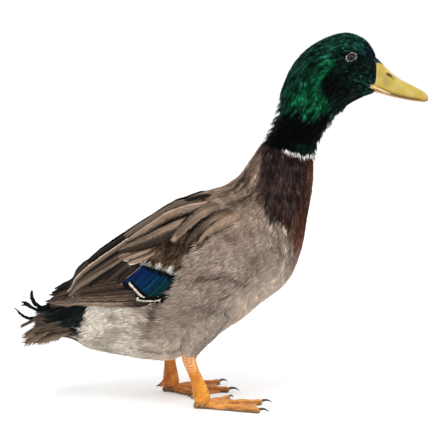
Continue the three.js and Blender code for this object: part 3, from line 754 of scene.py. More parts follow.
def spacedTree():
    # geometry nodes: small round shapes spaced along a path
    tree = bpy.data.node_groups.new("spacedAlongPath", "GeometryNodeTree")
    tree.interface.new_socket("Geometry", in_out="INPUT", socket_type="NodeSocketGeometry")
    for name, kind, value in (
        ("Count", "NodeSocketInt", 10),
        ("Size", "NodeSocketVector", (0.001, 0.001, 0.001)),
        ("Unevenness", "NodeSocketFloat", 0.1),
        ("Seed", "NodeSocketInt", 1),
        ("Material", "NodeSocketMaterial", None),
    ):
        socket = tree.interface.new_socket(name, in_out="INPUT", socket_type=kind)
        if value is not None:
            socket.default_value = value
    tree.interface.new_socket("Geometry", in_out="OUTPUT", socket_type="NodeSocketGeometry")
    given = tree.nodes.new("NodeGroupInput").outputs
    path = addNode(tree, "GeometryNodeMeshToCurve", {"Mesh": given["Geometry"]}).outputs["Curve"]
    inputs = {"Curve": path, "Count": given["Count"]}
    even = addNode(tree, "GeometryNodeResampleCurve", inputs).outputs["Curve"]
    inputs = {"Vector": addNode(tree, "GeometryNodeInputTangent").outputs["Tangent"]}
    turn = addNode(tree, "FunctionNodeAlignRotationToVector", inputs, axis="X").outputs["Rotation"]
    ball = addNode(tree, "GeometryNodeMeshIcoSphere", {"Radius": 1.0, "Subdivisions": 2}).outputs["Mesh"]
    low = addMath(tree, "SUBTRACT", 1.0, given["Unevenness"])
    high = addMath(tree, "ADD", 1.0, given["Unevenness"])
    inputs = {2: low, 3: high, "Seed": given["Seed"]}
    vary = addNode(tree, "FunctionNodeRandomValue", inputs, data_type="FLOAT").outputs[1]
    size = addScale(tree, given["Size"], vary)
    inputs = {"Points": even, "Instance": ball, "Rotation": turn, "Scale": size}
    laid = addNode(tree, "GeometryNodeInstanceOnPoints", inputs).outputs["Instances"]
    real = addNode(tree, "GeometryNodeRealizeInstances", {"Geometry": laid}).outputs["Geometry"]
    soft = addNode(tree, "GeometryNodeSetShadeSmooth", {"Geometry": real}).outputs["Geometry"]
    inputs = {"Geometry": soft, "Material": given["Material"]}
    finish = addNode(tree, "GeometryNodeSetMaterial", inputs).outputs["Geometry"]
    addNode(tree, "NodeGroupOutput", {"Geometry": finish})
    return tree


spacedAlongPath = spacedTree()


def spaced(name, paths, count, size, unevenness, seed, material, colour):
    # beads or ribs of one size (mm) at even distances along each path (mm)
    vertices, edges = [], []
    for path in paths:
        first = len(vertices)
        vertices.extend(toMetres(path).tolist())
        edges.extend((first + i, first + i + 1) for i in range(len(path) - 1))
    mesh = bpy.data.meshes.new(name + "Path")
    mesh.from_pydata(vertices, edges, [])
    holder = bpy.data.objects.new(name + "Path", mesh)
    bpy.context.scene.collection.objects.link(holder)
    modifier = holder.modifiers.new("spaced", "NODES")
    modifier.node_group = spacedAlongPath
    settings = {
        "Count": count,
        "Size": [x * 0.001 for x in size],
        "Unevenness": unevenness,
        "Seed": seed,
        "Material": material,
    }
    for item in spacedAlongPath.interface.items_tree:
        if item.item_type == "SOCKET" and item.in_out == "INPUT" and item.name in settings:
            modifier[item.identifier] = settings[item.name]
    made = evaluated(holder, name)
    discard(holder)
    setTint(made.data, colour)
    if not made.data.materials:
        made.data.materials.append(material)
    return made


skinLook = {
    "bodyRings": 200,
    "bodySides": 110,
    "rearEnd": 0.45,
    "legVoxel": 0.62,  # mm
    "legColour": (0.78, 0.25, 0.012),
    "legTintAndHighlight": (0.90, 0.42, 0.030),
    "legShade": (0.42, 0.11, 0.008),
    "legScale": (0.95, 0.64, 0.34),
    "webColour": (0.72, 0.29, 0.10),
    "toeColour": (0.88, 0.38, 0.070),
    "toeShade": (0.36, 0.12, 0.018),
    "soleColour": (0.17, 0.115, 0.060),
    "heelColour": (0.24, 0.16, 0.055),
    "hindColour": (0.20, 0.17, 0.10),
    "farShade": (0.80, 0.66, 0.55),
    "scuteHeight": 0.30,
    "scuteLength": 2.7,
}
# the coat at places along the body: length, half width, distance between tufts, depth, all in mm
coatPlaces = np.array([
    [0.3, 20, 3.4, 2.4, 1.6],
    [1.0, 21, 4.0, 2.8, 2.4],
    [2.0, 18, 5.0, 3.3, 3.6],
    [4.0, 18, 5.6, 3.6, 4.4],
    [7.0, 16, 5.4, 3.6, 4.2],
    [9.5, 14, 4.4, 3.1, 3.4],
    [11.5, 12, 3.1, 2.4, 2.6],
    [13.5, 9.5, 2.2, 1.9, 2.0],
    [16.0, 7.5, 1.7, 1.6, 1.6],
    [18.5, 5.6, 1.35, 1.35, 1.3],
    [20.5, 4.0, 1.1, 1.2, 1.0],
    [22.0, 2.8, 0.9, 1.0, 0.8],
])


def coatValue(along, column):
    return np.interp(along, coatPlaces[:, 0], coatPlaces[:, column])


napeLook = {
    "hollow": 7.0, "from": 11.9, "to": 15.9, "rowGap": 6.4, "reach": 38, "length": 12.5, "half": 0.9,
    "barbs": 3,
}


def eyeMiddle(side):
    surface = bodyPoint(np.array(eyePlace["along"]), np.array(float(eyePlace["angle"])))
    return np.array([surface[0], side * (surface[1] - eyePlace["sunk"]), surface[2]])


def napeHollow(along, angle):
    # behind the neck the even coat lies deeper, and loose spikes fill the space above it
    return napeLook["hollow"] * between(along, 12.3, 15.2, 0.5) * (1 - smooth(fromTop(angle), 18, 46))


def bodySkin():
    rings = skinLook["bodyRings"]
    sides = skinLook["bodySides"]
    along = np.linspace(skinLook["rearEnd"], lastPlace, rings)[:, None] + np.zeros(sides)
    angle = np.linspace(0, 360, sides, endpoint=False)[None, :] + np.zeros((rings, 1))
    points = bodyPoint(along, angle, -coatValue(along, 4) - napeHollow(along, angle))
    for side in (-1, 1):  # a hollow for each eye
        middle = eyeMiddle(side)
        reach = np.linalg.norm(points - middle, axis=-1)
        inward = unit(middle - np.array([middle[0], 0, middle[2]])) * -1
        points = points + inward * (2.6 * (1 - smooth(reach, 4.0, 8.0)))[..., None]
    return closedTube(points)


toeSizes = {
    "inner": {"length": 43, "base": 4.5, "tip": 3.0, "claw": 8.5, "joints": 2},
    "middle": {"length": 60.5, "base": 4.9, "tip": 3.3, "claw": 10.5, "joints": 3},
    "outer": {"length": 60, "base": 4.7, "tip": 3.2, "claw": 10, "joints": 3},
}
toeAngles = {
    "right": {"inner": 53, "middle": 13, "outer": -21},
    "left": {"inner": -44, "middle": -5, "outer": 33},
}
toeHeight = 0.72
hindToe = {"length": 11, "base": 2.9, "tip": 2.0, "claw": 6.5, "height": 13, "behind": 5, "inward": 4}
web = {"thick": 2.7, "reach": 0.95, "hollow": 0.84, "heel": 2}
heelPad = {"from": (5, 0, 3.4), "to": (-9.5, 0, 2.4), "base": 4.6, "tip": 3.8}


def toeTube(start, end, base, tip, joints):
    axis = end - start
    length = np.linalg.norm(axis)
    axis = axis / length
    across = unit(np.array([-axis[1], axis[0], 0.0]))
    up = np.cross(axis, across)
    rings = []
    for t in np.linspace(0, 1, 40):
        swell = 1 + 0.09 * np.cos(2 * np.pi * joints * t)
        past = max(0.0, (t * length - (length - tip)) / tip)
        radius = (base + (tip - base) * t) * swell * math.sqrt(max(0.03, 1 - past**2))
        rings.append(ellipse(start + axis * t * length, across, radius, up, radius, 20))
    return closedTube(rings)


def webSheet(middle, angles):
    # a thin solid between the toes, hollow at its front edge
    def toeEnd(name):
        turn = math.radians(angles[name])
        reach = toeSizes[name]["length"] * web["reach"]
        return middle + reach * np.array([math.cos(turn), math.sin(turn), 0])

    names = sorted(angles, key=lambda name: angles[name])
    rim = []
    for first, second in zip(names, names[1:]):
        a, b = toeEnd(first), toeEnd(second)
        pull = middle + (0.5 * (a + b) - middle) * web["hollow"]
        for t in np.linspace(0, 1, 14, endpoint=False):
            rim.append((1 - t) ** 2 * a + 2 * t * (1 - t) * pull + t**2 * b)
    rim.append(toeEnd(names[-1]))
    rim.append(middle + np.array([-web["heel"], 0, 0]))
    rim = np.array(rim)
    low = rim + np.array([0, 0, 0.05])
    high = rim + np.array([0, 0, web["thick"]])
    return closedTube(np.stack([low, high]))


def footMiddle(side):
    return np.array([legPlaces[side][-1][0], legPlaces[side][-1][1], 0.0])


def hindToeLine(side):
    inward = 1 if side == "right" else -1
    heading = unit(np.array([-0.62, inward * 0.62, -0.48]))
    offset = np.array([-hindToe["behind"], inward * hindToe["inward"], hindToe["height"]])
    start = footMiddle(side) + offset
    return start, start + heading * hindToe["length"], heading


def legSolids(side):
    rings, sides = 90, 36
    place = np.linspace(0, len(legPlaces[side]) - 1, rings)[:, None] + np.zeros(sides)
    angle = np.linspace(0, 360, sides, endpoint=False)[None, :] + np.zeros((rings, 1))
    inset = -3.0 * (1 - smooth(place, 1.6, hockPlace))
    parts = [closedTube(legPoint(side, place, angle, inset))]
    middle = footMiddle(side)
    for name, size in toeSizes.items():
        turn = math.radians(toeAngles[side][name])
        heading = np.array([math.cos(turn), math.sin(turn), 0])
        start = middle + np.array([0, 0, size["base"] * toeHeight])
        end = middle + heading * size["length"] + np.array([0, 0, size["tip"] * toeHeight])
        parts.append(toeTube(start, end, size["base"], size["tip"], size["joints"]))
    start, end, _ = hindToeLine(side)
    parts.append(toeTube(start, end, hindToe["base"], hindToe["tip"], 1))
    parts.append(webSheet(middle, toeAngles[side]))
    front, back = middle + np.array(heelPad["from"]), middle + np.array(heelPad["to"])
    parts.append(toeTube(front, back, heelPad["base"], heelPad["tip"], 1))
    return joined(parts)


def legDistance(side, points):
    # how far out from the foot's middle a point lies, and how far it lies from the line of the nearest toe
    middle = footMiddle(side)
    flat = points[:, :2] - middle[:2]
    reach = np.linalg.norm(flat, axis=1)
    turn = np.degrees(np.arctan2(flat[:, 1], flat[:, 0]))
    off = np.min([np.abs(turn - toeAngles[side][name]) for name in toeSizes], axis=0)
    fromToe = reach * np.sin(np.radians(np.clip(off, 0, 90)))
    return reach, fromToe


def scaleUp(points, normals, side):
    # plates across the front of the leg and the tops of the toes, raised in the mesh
    reach, fromToe = legDistance(side, points)
    z = points[:, 2]
    length = skinLook["scuteLength"]
    onLeg = smooth(z, 9, 13) * (1 - smooth(z, 50, 55))
    facing = smooth(normals[:, 0], -0.3, 0.5)
    row = np.abs(np.sin(np.pi * z / length)) ** 0.5
    onToe = (
        (1 - smooth(z, 8, 12)) * smooth(reach, 6, 12) * (1 - smooth(fromToe, 3.0, 4.2))
        * smooth(normals[:, 2], 0, 0.5)
    )
    toeRow = np.abs(np.sin(np.pi * reach / (length * 0.9))) ** 0.5
    lump = ripple(points, 1.6, 31)
    amount = onLeg * (facing * row + (1 - facing) * (0.5 + 0.5 * lump)) + onToe * toeRow
    height = skinLook["scuteHeight"] * (amount - 0.4 * np.minimum(onLeg + onToe, 1))
    return points + normals * height[:, None]


def meshArrays(piece):
    count = len(piece.data.vertices)
    points = np.zeros(count * 3, np.float32)
    piece.data.vertices.foreach_get("co", points)
    normals = np.zeros(count * 3, np.float32)
    piece.data.vertices.foreach_get("normal", normals)
    return points.reshape(-1, 3).astype(float), normals.reshape(-1, 3).astype(float)


def makeLegSkin(side):
    points, quads, triangles = legSolids(side)
    rough = makeMesh("legRough", points, quads, triangles)
    remesh = rough.modifiers.new("remesh", "REMESH")
    remesh.mode = "VOXEL"
    remesh.voxel_size = skinLook["legVoxel"] * 0.001
    relax = rough.modifiers.new("relax", "SMOOTH")
    relax.factor = 0.5
    relax.iterations = 4
    made = evaluated(rough, "leg_" + side)
    discard(rough)
    points, normals = meshArrays(made)
    local = points * 1000 - planeShift
    local = scaleUp(local, normals, side)
    local[:, 2] = np.where(local[:, 2] < 0.45, 0.0, local[:, 2])  # the soles are flat on the floor
    made.data.vertices.foreach_set("co", toMetres(local).astype(np.float32).ravel())
    made.data.update()
    return made


def bodyCoordinates(points):
    # nearest place along and angle round the body for points on or near it
    along = np.linspace(0.3, lastPlace, 240)
    angle = np.linspace(-180, 180, 121)
    gridAlong, gridAngle = np.meshgrid(along, angle, indexing="ij")
    grid = bodyPoint(gridAlong, gridAngle, -coatValue(gridAlong, 4)).reshape(-1, 3)
    tree = KDTree(len(grid))
    for i, p in enumerate(grid):
        tree.insert(p, i)
    tree.balance()
    found = np.array([tree.find(p)[1] for p in points])
    return gridAlong.ravel()[found], gridAngle.ravel()[found]


legMiddle = {side: (places[::-1, 2], places[::-1, 0]) for side, places in legPlaces.items()}


def skinColours(points):
    look = skinLook
    along, angle = bodyCoordinates(points)
    # under the coat the skin takes the body's colour at three quarters, as painted shade beneath the tufts
    body = plumageColour(along, angle, points) * 0.75
    bare = np.zeros(len(points))
    colour = body
    for side in ("right", "left"):
        middle = footMiddle(side)
        near = (np.sign(points[:, 1]) == np.sign(middle[1])) & (points[:, 2] < 60)
        reach, fromToe = legDistance(side, points)
        z = points[:, 2]
        fine = ripple(points, 1.8, 43)
        leg = mix(look["legColour"], look["legShade"], limit(0.15 + 0.4 * ripple(points, 6, 41) + 0.2 * fine))
        seam = 1 - np.abs(np.sin(np.pi * z / look["scuteLength"])) ** 0.35
        # the lower shank yellower, partly its own colour and partly a painted highlight
        leg = mix(leg, look["legTintAndHighlight"], between(z, 12, 33, 5) * limit(0.45 + 0.8 * ripple(points, 5, 44)))
        # painted shade on the back of the shank
        front = smooth(points[:, 0] - np.interp(z, *legMiddle[side]), -6, 5)
        leg = mix(leg, look["legShade"], (1 - front) * smooth(z, 9, 14) * 0.5)
        leg = mix(leg, look["legShade"], seam * smooth(z, 12, 18) * (1 - smooth(z, 30, 38)) * 0.45)
        leg = mix(leg, look["legScale"], seam * smooth(z, 32, 40))
        leg = mix(leg, look["legScale"], smooth(z, 34, 46) * np.clip(0.2 + 0.5 * fine, 0, 0.6))
        toe = mix(look["toeColour"], look["toeShade"], limit(0.10 + 0.35 * ripple(points, 4, 45)))
        toeSeam = 1 - np.abs(np.sin(np.pi * reach / (look["scuteLength"] * 0.9))) ** 0.3
        toe = mix(toe, look["toeShade"], toeSeam * 0.5)
        leg = mix(leg, toe, (1 - smooth(z, 7, 15)) * smooth(reach, 4, 14))
        webShare = (1 - smooth(z, 3.0, 4.2)) * smooth(fromToe, 3.2, 4.8) * smooth(reach, 8, 14)
        leg = mix(leg, look["webColour"], webShare)
        # a painted shadow line where each toe meets the web
        rim = between(fromToe, 2.7, 3.9, 0.35) * smooth(reach, 9, 16) * (1 - smooth(z, 4.6, 6.0))
        leg = mix(leg, look["toeShade"], rim * limit(0.85 + 0.4 * fine))
        low = 1 - smooth(z + 0.8 * fine, 1.7, 3.3)
        leg = mix(leg, look["soleColour"], low * (1 - webShare))
        heel = (1 - smooth(points[:, 0] - middle[0], 1.0, 6.0)) * (1 - smooth(z, 5.0, 9.0))
        leg = mix(leg, look["heelColour"], heel * limit(0.65 + 0.6 * fine))
        leg = mix(leg, look["soleColour"] * np.array(0.4), heel * smooth(fine, 0.1, 0.5) * 0.8)
        start, _, heading = hindToeLine(side)
        along = np.clip((points - start) @ heading, 0, hindToe["length"])
        offHind = np.linalg.norm(points - start - along[:, None] * heading, axis=1)
        hind = (1 - smooth(offHind, 3.0, 4.2)) * smooth(along, 2, 6)
        leg = mix(leg, look["hindColour"], hind * (0.9 if side == "right" else 0.2))
        leg = leg * np.array(look["farShade"] if side == "left" else (1.0, 1.0, 1.0))
        share = near * (1 - smooth(z + 1.5 * ripple(points, 4, 42), 53, 57))
        colour = mix(colour, leg, share)
        bare = np.maximum(bare, share)
    return colour, bare


points, quads, triangles = bodySkin()
skin = makeMesh("skin", points, quads, triangles)
for side in ("right", "left"):
    leg = makeLegSkin(side)
    weld = skin.modifiers.new("join" + side, "BOOLEAN")
    weld.operation = "UNION"
    weld.solver = "MANIFOLD"
    weld.object = leg
    whole = evaluated(skin, "skinJoined")
    discard(skin, leg)
    skin = whole
skin.name = "skin"
skin.data.name = "skin"
points, _ = meshArrays(skin)
local = points * 1000 - planeShift
skinTint, skinBare = skinColours(local)
setTint(skin.data, skinTint)
skin.data.attributes.new("bare", "FLOAT", "POINT").data.foreach_set("value", skinBare.astype(np.float32))
skin.data.materials.clear()
skin.data.materials.append(skinFinish)
skin.data.polygons.foreach_set("use_smooth", np.ones(len(skin.data.polygons), bool))
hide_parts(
    "trunk", "neck", "head", "thigh_right", "thigh_left",
    "shank_right", "shank_left", "foot_right", "foot_left",
)
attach(skin, "root")
print("skin made:", len(skin.data.polygons), "faces")


wingCover = {  # under the wing no coat grows: the wing's lower edge, degrees at places along
    "along": [
        0.0, 0.7, 1.15, 2.5, 3.6, 4.5, 5.0, 5.45, 5.64, 5.82, 6.0, 6.15, 6.21, 6.30, 6.40, 6.94, 7.2, 7.45,
        7.7,
    ],
    "lower": [22, 44, 54, 66, 72, 80, 87, 90, 88, 85, 81.5, 78, 74, 70.5, 68.5, 68, 64, 51, 30],
    "upper": 13,
}


def scatter(low, high, seed, density):
    # even random places (along, angle) over a length of the body, a given distance apart
    chance = np.random.default_rng(seed)
    along = np.linspace(low, high, 160)
    angle = np.linspace(-180, 180, 181)[:-1]
    gridAlong, gridAngle = np.meshgrid((along[1:] + along[:-1]) / 2, angle, indexing="ij")
    _, _, alongU, alongV = surfaceFrame(bodyPoint, gridAlong, gridAngle)
    area = np.linalg.norm(np.cross(alongU, alongV), axis=-1) * (along[1] - along[0]) * 2.0
    gap = coatValue(gridAlong, 3) * density
    weight = (area / gap**2).ravel()
    wanted = int(weight.sum() * 4)
    pick = chance.choice(weight.size, wanted, p=weight / weight.sum())
    s = gridAlong.ravel()[pick] + chance.uniform(-0.5, 0.5, wanted) * (along[1] - along[0])
    a = gridAngle.ravel()[pick] + chance.uniform(-1, 1, wanted)
    keep = ~bareOfCoat(s, a)
    s, a = s[keep], a[keep]
    points = bodyPoint(s, a)
    gap = coatValue(s, 3) * density
    cell = float(gap.max())
    taken = {}
    chosen = []
    steps = [(x, y, z) for x in (-1, 0, 1) for y in (-1, 0, 1) for z in (-1, 0, 1)]

    def crowded(i, key):
        p = points[i]
        for x, y, z in steps:
            for j in taken.get((key[0] + x, key[1] + y, key[2] + z), ()):
                q = points[j]
                if (p[0] - q[0]) ** 2 + (p[1] - q[1]) ** 2 + (p[2] - q[2]) ** 2 < gap[i] ** 2:
                    return True
        return False

    for i in range(len(s)):
        key = tuple(int(x // cell) for x in points[i])
        if not crowded(i, key):
            taken.setdefault(key, []).append(i)
            chosen.append(i)
    return s[chosen], a[chosen]


barbRows = np.array([0.0, 0.52, 1.0])


def eachTuft(count, *values):
    # one value for all or one for each, ready to go with every barb of every tuft
    return (np.broadcast_to(value, count)[:, None, None] for value in values)


def growTufts(sheet, u, v, tuft, seed, lie=-1.0, steps=(0.01, 0.5)):
    # tuft: length, half width, depth, rise, turn (degrees), curl and loose, for each tuft or for all
    chance = np.random.default_rng(seed)
    count = len(u)
    barbs = tuft["barbs"]
    _, _, alongU, alongV = surfaceFrame(sheet, u, v, 1.0, *steps)
    scaleU = np.maximum(np.linalg.norm(alongU, axis=-1), tuft.get("leastU", 6.0))[:, None, None]
    scaleV = np.maximum(np.linalg.norm(alongV, axis=-1), 0.08)[:, None, None]
    q = np.linspace(-1, 1, barbs)[None, :] + chance.normal(0, 0.35 / barbs, (count, barbs))
    q = q[:, :, None]
    keys = ("length", "half", "depth", "rise", "turn", "curl", "loose")
    length, half, depth, rise, turn, curl, loose = eachTuft(count, *(tuft[key] for key in keys))
    length = length[:, :, 0] * (1 - 0.22 * q[:, :, 0] ** 2 + chance.normal(0, 0.09, (count, barbs)))
    t = barbRows[None, None, :]
    run = length[:, :, None] * t
    fan = np.array([0.35, 0.95, 1.0])[None, None, :]
    side = q * half * fan + curl * t**2
    side = side + chance.normal(0, 0.14, (count, barbs, 1)) * half * t**2
    turn = np.radians(turn)
    moveU = (lie * run * np.cos(turn) + side * np.sin(turn)) / scaleU
    moveV = (run * np.sin(turn) - lie * side * np.cos(turn)) / scaleV
    placeU = u[:, None, None] + moveU
    placeV = v[:, None, None] + moveV
    centre, normal, _, _ = surfaceFrame(sheet, placeU, placeV, 1.0, *steps)
    height = -depth + (depth + rise) * (1 - (1 - t) ** tuft.get("climb", 2.2))
    height = height + chance.normal(0, 0.20, (count, barbs, 1)) * t * loose
    height = height - tuft.get("dome", 0.15) * half * q**2 * t
    centre = centre + normal * height[..., None]
    heading = unit(np.concatenate([np.diff(centre, axis=2), centre[:, :, 2:] - centre[:, :, 1:2]], axis=2))
    lateral = unit(np.cross(normal, heading))
    wide = (half / barbs * tuft["overlap"]) * np.array([0.8, 1.0, 0.0])[None, None, :]
    wide = wide[..., None] * (1 + chance.normal(0, 0.15, (count, barbs, 1, 1)))
    left = centre - lateral * wide
    right = centre + lateral * wide
    top = centre + normal * (wide * 0.42 + 0.05)
    rings = np.stack([left[:, :, :2], top[:, :, :2], right[:, :, :2]], axis=3)
    points = np.concatenate([rings.reshape(count, barbs, 6, 3), centre[:, :, 2:3]], axis=2)
    first = (np.arange(count * barbs) * 7)[:, None, None]
    corner = ((0, 1), (1, 2), (2, 0))
    quads = np.array([[a, 3 + a, 3 + b, b] for a, b in corner])
    tips = np.array([[3 + a, 6, 3 + b] for a, b in corner] + [[0, 1, 2]])
    return {
        "points": points.reshape(-1, 3),
        "quads": (quads[None] + first).reshape(-1, 4),
        "triangles": (tips[None] + first).reshape(-1, 3),
        "centre": centre,
        "placeU": placeU,
        "placeV": placeV,
        "q": q,
        "half": half,
        "length": length,
        "chance": chance,
    }


def perPoint(rows):
    # values at a barb's three rows, given to its seven points
    return np.repeat(rows, [3, 3, 1], axis=2)


def tuftColours(made, zone, wander, tuftSpread, barbSpread, rootShade, tipLight=1.06):
    # each barb's colour: the zone's near its tip, uneven from tuft to tuft and barb to barb
    chance = made["chance"]
    count, barbs, rows = made["placeU"].shape
    wander, tuftSpread, barbSpread = eachTuft(count, wander, tuftSpread, barbSpread)
    drift = 0.8 * chance.normal(0, 1, (count, 1, 1)) + 0.45 * chance.normal(0, 1, (count, barbs, 1))
    drift = wander * drift

    def nearTip(rows):
        return rows[:, :, 1:2] * 0.35 + rows[:, :, 2:] * 0.65

    colour = zone(nearTip(made["placeU"]) + drift, nearTip(made["placeV"]), nearTip(made["centre"]))
    light = tuftSpread * chance.normal(0, 1, (count, 1, 1))
    light = light + barbSpread * chance.normal(0, 1, (count, barbs, 1))
    light = np.exp(np.clip(light, -1.6, 1.5))
    light = light * np.array([rootShade, 0.5 + 0.5 * rootShade, tipLight])[None, None, :]
    return perPoint(colour * light[..., None]).reshape(-1, 3)


def tuftMaps(made, rootU, rootV, patch=0.003):
    # the bake map holds each tuft as a small patch at its root's place on the unwrapped skin
    count, barbs, _ = made["placeU"].shape
    side = np.array([-1, 0, 1, -1, 0, 1, 0])[None, None, :] / barbs
    across = (made["q"] + side + 1.4) / 2.8
    along = np.broadcast_to(np.repeat(barbRows, [3, 3, 1])[None, None, :], across.shape)
    bake = np.stack([rootU[:, None, None] + patch * across, rootV[:, None, None] + patch * along], -1)
    shift = made["chance"].uniform(0, 60, (count, 1, 1))
    acrossMm = (made["q"] + side) * made["half"]
    alongMm = along * made["length"][:, :, None]
    vane = np.stack([acrossMm * 0.1 + shift, alongMm * 0.1 + shift * 1.7], -1)
    return {"OFBake": bake.reshape(-1, 2), "vaneMap": vane.reshape(-1, 2)}


def unwrapPlace(along, angle):
    # the skin's own unwrap: round the body across, along it upwards
    return 0.01 + 0.975 * (((angle + 180) % 360) / 360), 0.01 + 0.975 * limit(along / lastPlace)


coatPieces = {
    "coat_face": {"from": 18.8, "to": 21.95, "barbs": 4, "density": 0.95, "gloss": True, "seed": 11},
    "coat_head": {"from": 16.2, "to": 18.8, "barbs": 5, "density": 0.95, "gloss": True, "seed": 12},
    "coat_neck": {"from": 13.3, "to": 16.2, "barbs": 6, "density": 0.95, "gloss": True, "seed": 13},
    "coat_collar": {"from": 11.4, "to": 13.3, "barbs": 9, "density": 0.95, "gloss": False, "seed": 14},
    "coat_breast": {"from": 9.4, "to": 11.4, "barbs": 14, "density": 0.95, "gloss": False, "seed": 15},
    "coat_shoulder": {"from": 7.3, "to": 9.4, "barbs": 16, "density": 0.95, "gloss": False, "seed": 16},
    "coat_flank": {"from": 5.2, "to": 7.3, "barbs": 16, "density": 0.95, "gloss": False, "seed": 17},
    "coat_hip": {"from": 2.9, "to": 5.2, "barbs": 15, "density": 0.95, "gloss": False, "seed": 18},
    "coat_vent": {"from": 1.2, "to": 2.9, "barbs": 13, "density": 0.85, "gloss": False, "seed": 19},
    "coat_tail_coverts": {"from": 0.25, "to": 1.2, "barbs": 9, "density": 0.8, "gloss": True, "seed": 20},
}
coatLook = {
    "barbOverlap": 1.5,
    "rise": 0.3,  # of the tips over the solids' surface
    "overWing": 3.4,  # how far the flank's tips stand over the wing's front edge
    "overCoverts": 2.3,  # and the part of it next to the bright patch more
    "rootShade": 0.70,
    "tuftSpread": (
        [0, 2.6, 3.2, 9, 10, 12, 13, 14, 18.4, 18.9, 22],
        [0.22, 0.22, 0.06, 0.05, 0.20, 0.22, 0.30, 0.45, 0.5, 0.7, 0.7],
    ),
    "barbSpread": (
        [0, 2.6, 3.2, 9, 10, 12, 13, 14, 22], [0.25, 0.25, 0.15, 0.15, 0.25, 0.30, 0.30, 0.40, 0.45]
    ),
    "wander": ([0, 2, 3.4, 9, 12, 13, 22], [0.16, 0.20, 0.14, 0.10, 0.05, 0.03, 0.08]),
}


def lieOfCoat(s, a):
    # how far the coat's lie turns from straight back towards the belly, in degrees, at the sides
    turn = -13 * between(a, 72, 118, 14) * between(s, 4.4, 8.0, 0.8)
    turn = turn + 12 * smooth(a, 120, 150) * between(s, 4.4, 8.6, 0.8)
    turn = turn + 14 * between(a, 70, 125, 15) * between(s, 2.2, 4.0, 0.5)
    turn = turn + 10 * (1 - smooth(a, 40, 70)) * between(s, 8.5, 11.5, 0.8)
    return turn


def underWing(s, a):
    a = fromTop(a)
    lower = np.interp(s, wingCover["along"], wingCover["lower"])
    return (a > wingCover["upper"]) & (a < lower) & (s < wingCover["along"][-1])


def nearEye(s, a):
    p = bodyPoint(s, a)
    return np.minimum(*(np.linalg.norm(p - eyeMiddle(side), axis=-1) for side in (-1, 1))) < 6.4


gapeLine = np.array([[147.0, 12.6, 318.2], [151.0, 11.8, 316.0], [156.0, 10.8, 313.6]])


def bareOfCoat(s, a):
    # no tufts under the wing, on the eye or at the corner of the mouth
    p = bodyPoint(s, a)
    p[..., 1] = np.abs(p[..., 1])
    nearGape = np.min([np.linalg.norm(p - q, axis=-1) for q in gapeLine], axis=0) < 3.2
    return underWing(s, a) | nearEye(s, a) | nearGape


def joinTufts(name, parts, material, mirror=False):
    # tufts from several beds (made, tint, maps) as one piece
    points, quads, triangles = joined(
        [(made["points"], made["quads"], made["triangles"]) for made, _, _ in parts]
    )
    tint = np.concatenate([part for _, part, _ in parts])
    maps = {key: np.concatenate([part[key] for _, _, part in parts]) for key in ("OFBake", "vaneMap")}
    if mirror:
        points = points * np.array([1, -1, 1])
        quads, triangles = quads[:, ::-1], triangles[:, ::-1]
    coat = makeMesh(name, points, quads, triangles, tint, maps, material)
    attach(coat, "root")
    return len(quads) * 2 + len(triangles)


def makeCoat(name, piece):
    s, a = scatter(piece["from"], piece["to"], piece["seed"], piece["density"])
    chance = np.random.default_rng(piece["seed"] + 100)
    p = bodyPoint(s, a)
    side = fromTop(a)
    length = coatValue(s, 1) * (1 + chance.normal(0, 0.10, len(s)))
    turn = np.sign(a) * lieOfCoat(s, side) + 7 * ripple(p, 26, 51) + chance.normal(0, 2.5, len(s))
    turn = turn + 16 * ripple(p, 9, 54) * smooth(s, 13.5, 15)
    overWing = between(s, 5.5, 7.4, 0.35) * between(side, 54, 94, 9)
    throat = between(s, 13.3, 17.0, 0.4) * smooth(side, 125, 155)
    _, lift = foldEffect(s - 0.35, a)
    hollow = napeHollow(s - 0.3, a)
    rise = coatLook["rise"] + coatLook["overWing"] * overWing
    rise = rise + chance.uniform(0, 1, len(s)) * 0.4 + lift - hollow
    rise = rise + 4.2 * throat * chance.uniform(0, 1, len(s)) ** 3
    rise = rise + 0.6 * ripple(p, 18, 52) * smooth(-s, -12, -9)
    rise = rise + coatLook["overCoverts"] * between(s, 5.7, 6.75, 0.2) * between(side, 63, 90, 5)
    length = length * (1 - 0.4 * between(s, 12.3, 13.9, 0.3) * smooth(side, 50, 70))
    tuft = {
        "barbs": piece["barbs"],
        "overlap": coatLook["barbOverlap"],
        "length": length,
        "half": coatValue(s, 2) * (1 + chance.normal(0, 0.1, len(s))),
        "depth": coatValue(s, 4) + 0.6 + napeHollow(s, a),
        "rise": rise,
        "turn": turn,
        "curl": chance.normal(0, 0.05, len(s)) * length,
        "loose": 1.0 + 0.8 * smooth(-s, -12, -8) + 1.5 * overWing,
        "dome": 0.12,
    }
    made = growTufts(bodyPoint, s, a, tuft, piece["seed"] + 200)

    def zone(along, angle, points):
        # the coat's colour with the folds' painted shade in creases and painted light on bulges
        return plumageColour(along, angle, points) * foldEffect(along, angle)[0][..., None]

    spreads = [np.interp(s, *coatLook[key]) for key in ("wander", "tuftSpread", "barbSpread")]
    tint = tuftColours(made, zone, *spreads, 0.30 if piece["gloss"] else coatLook["rootShade"])
    maps = tuftMaps(made, *unwrapPlace(s, a))
    material = glossPlumage if piece["gloss"] else softPlumage
    return joinTufts(name, [(made, tint, maps)], material)


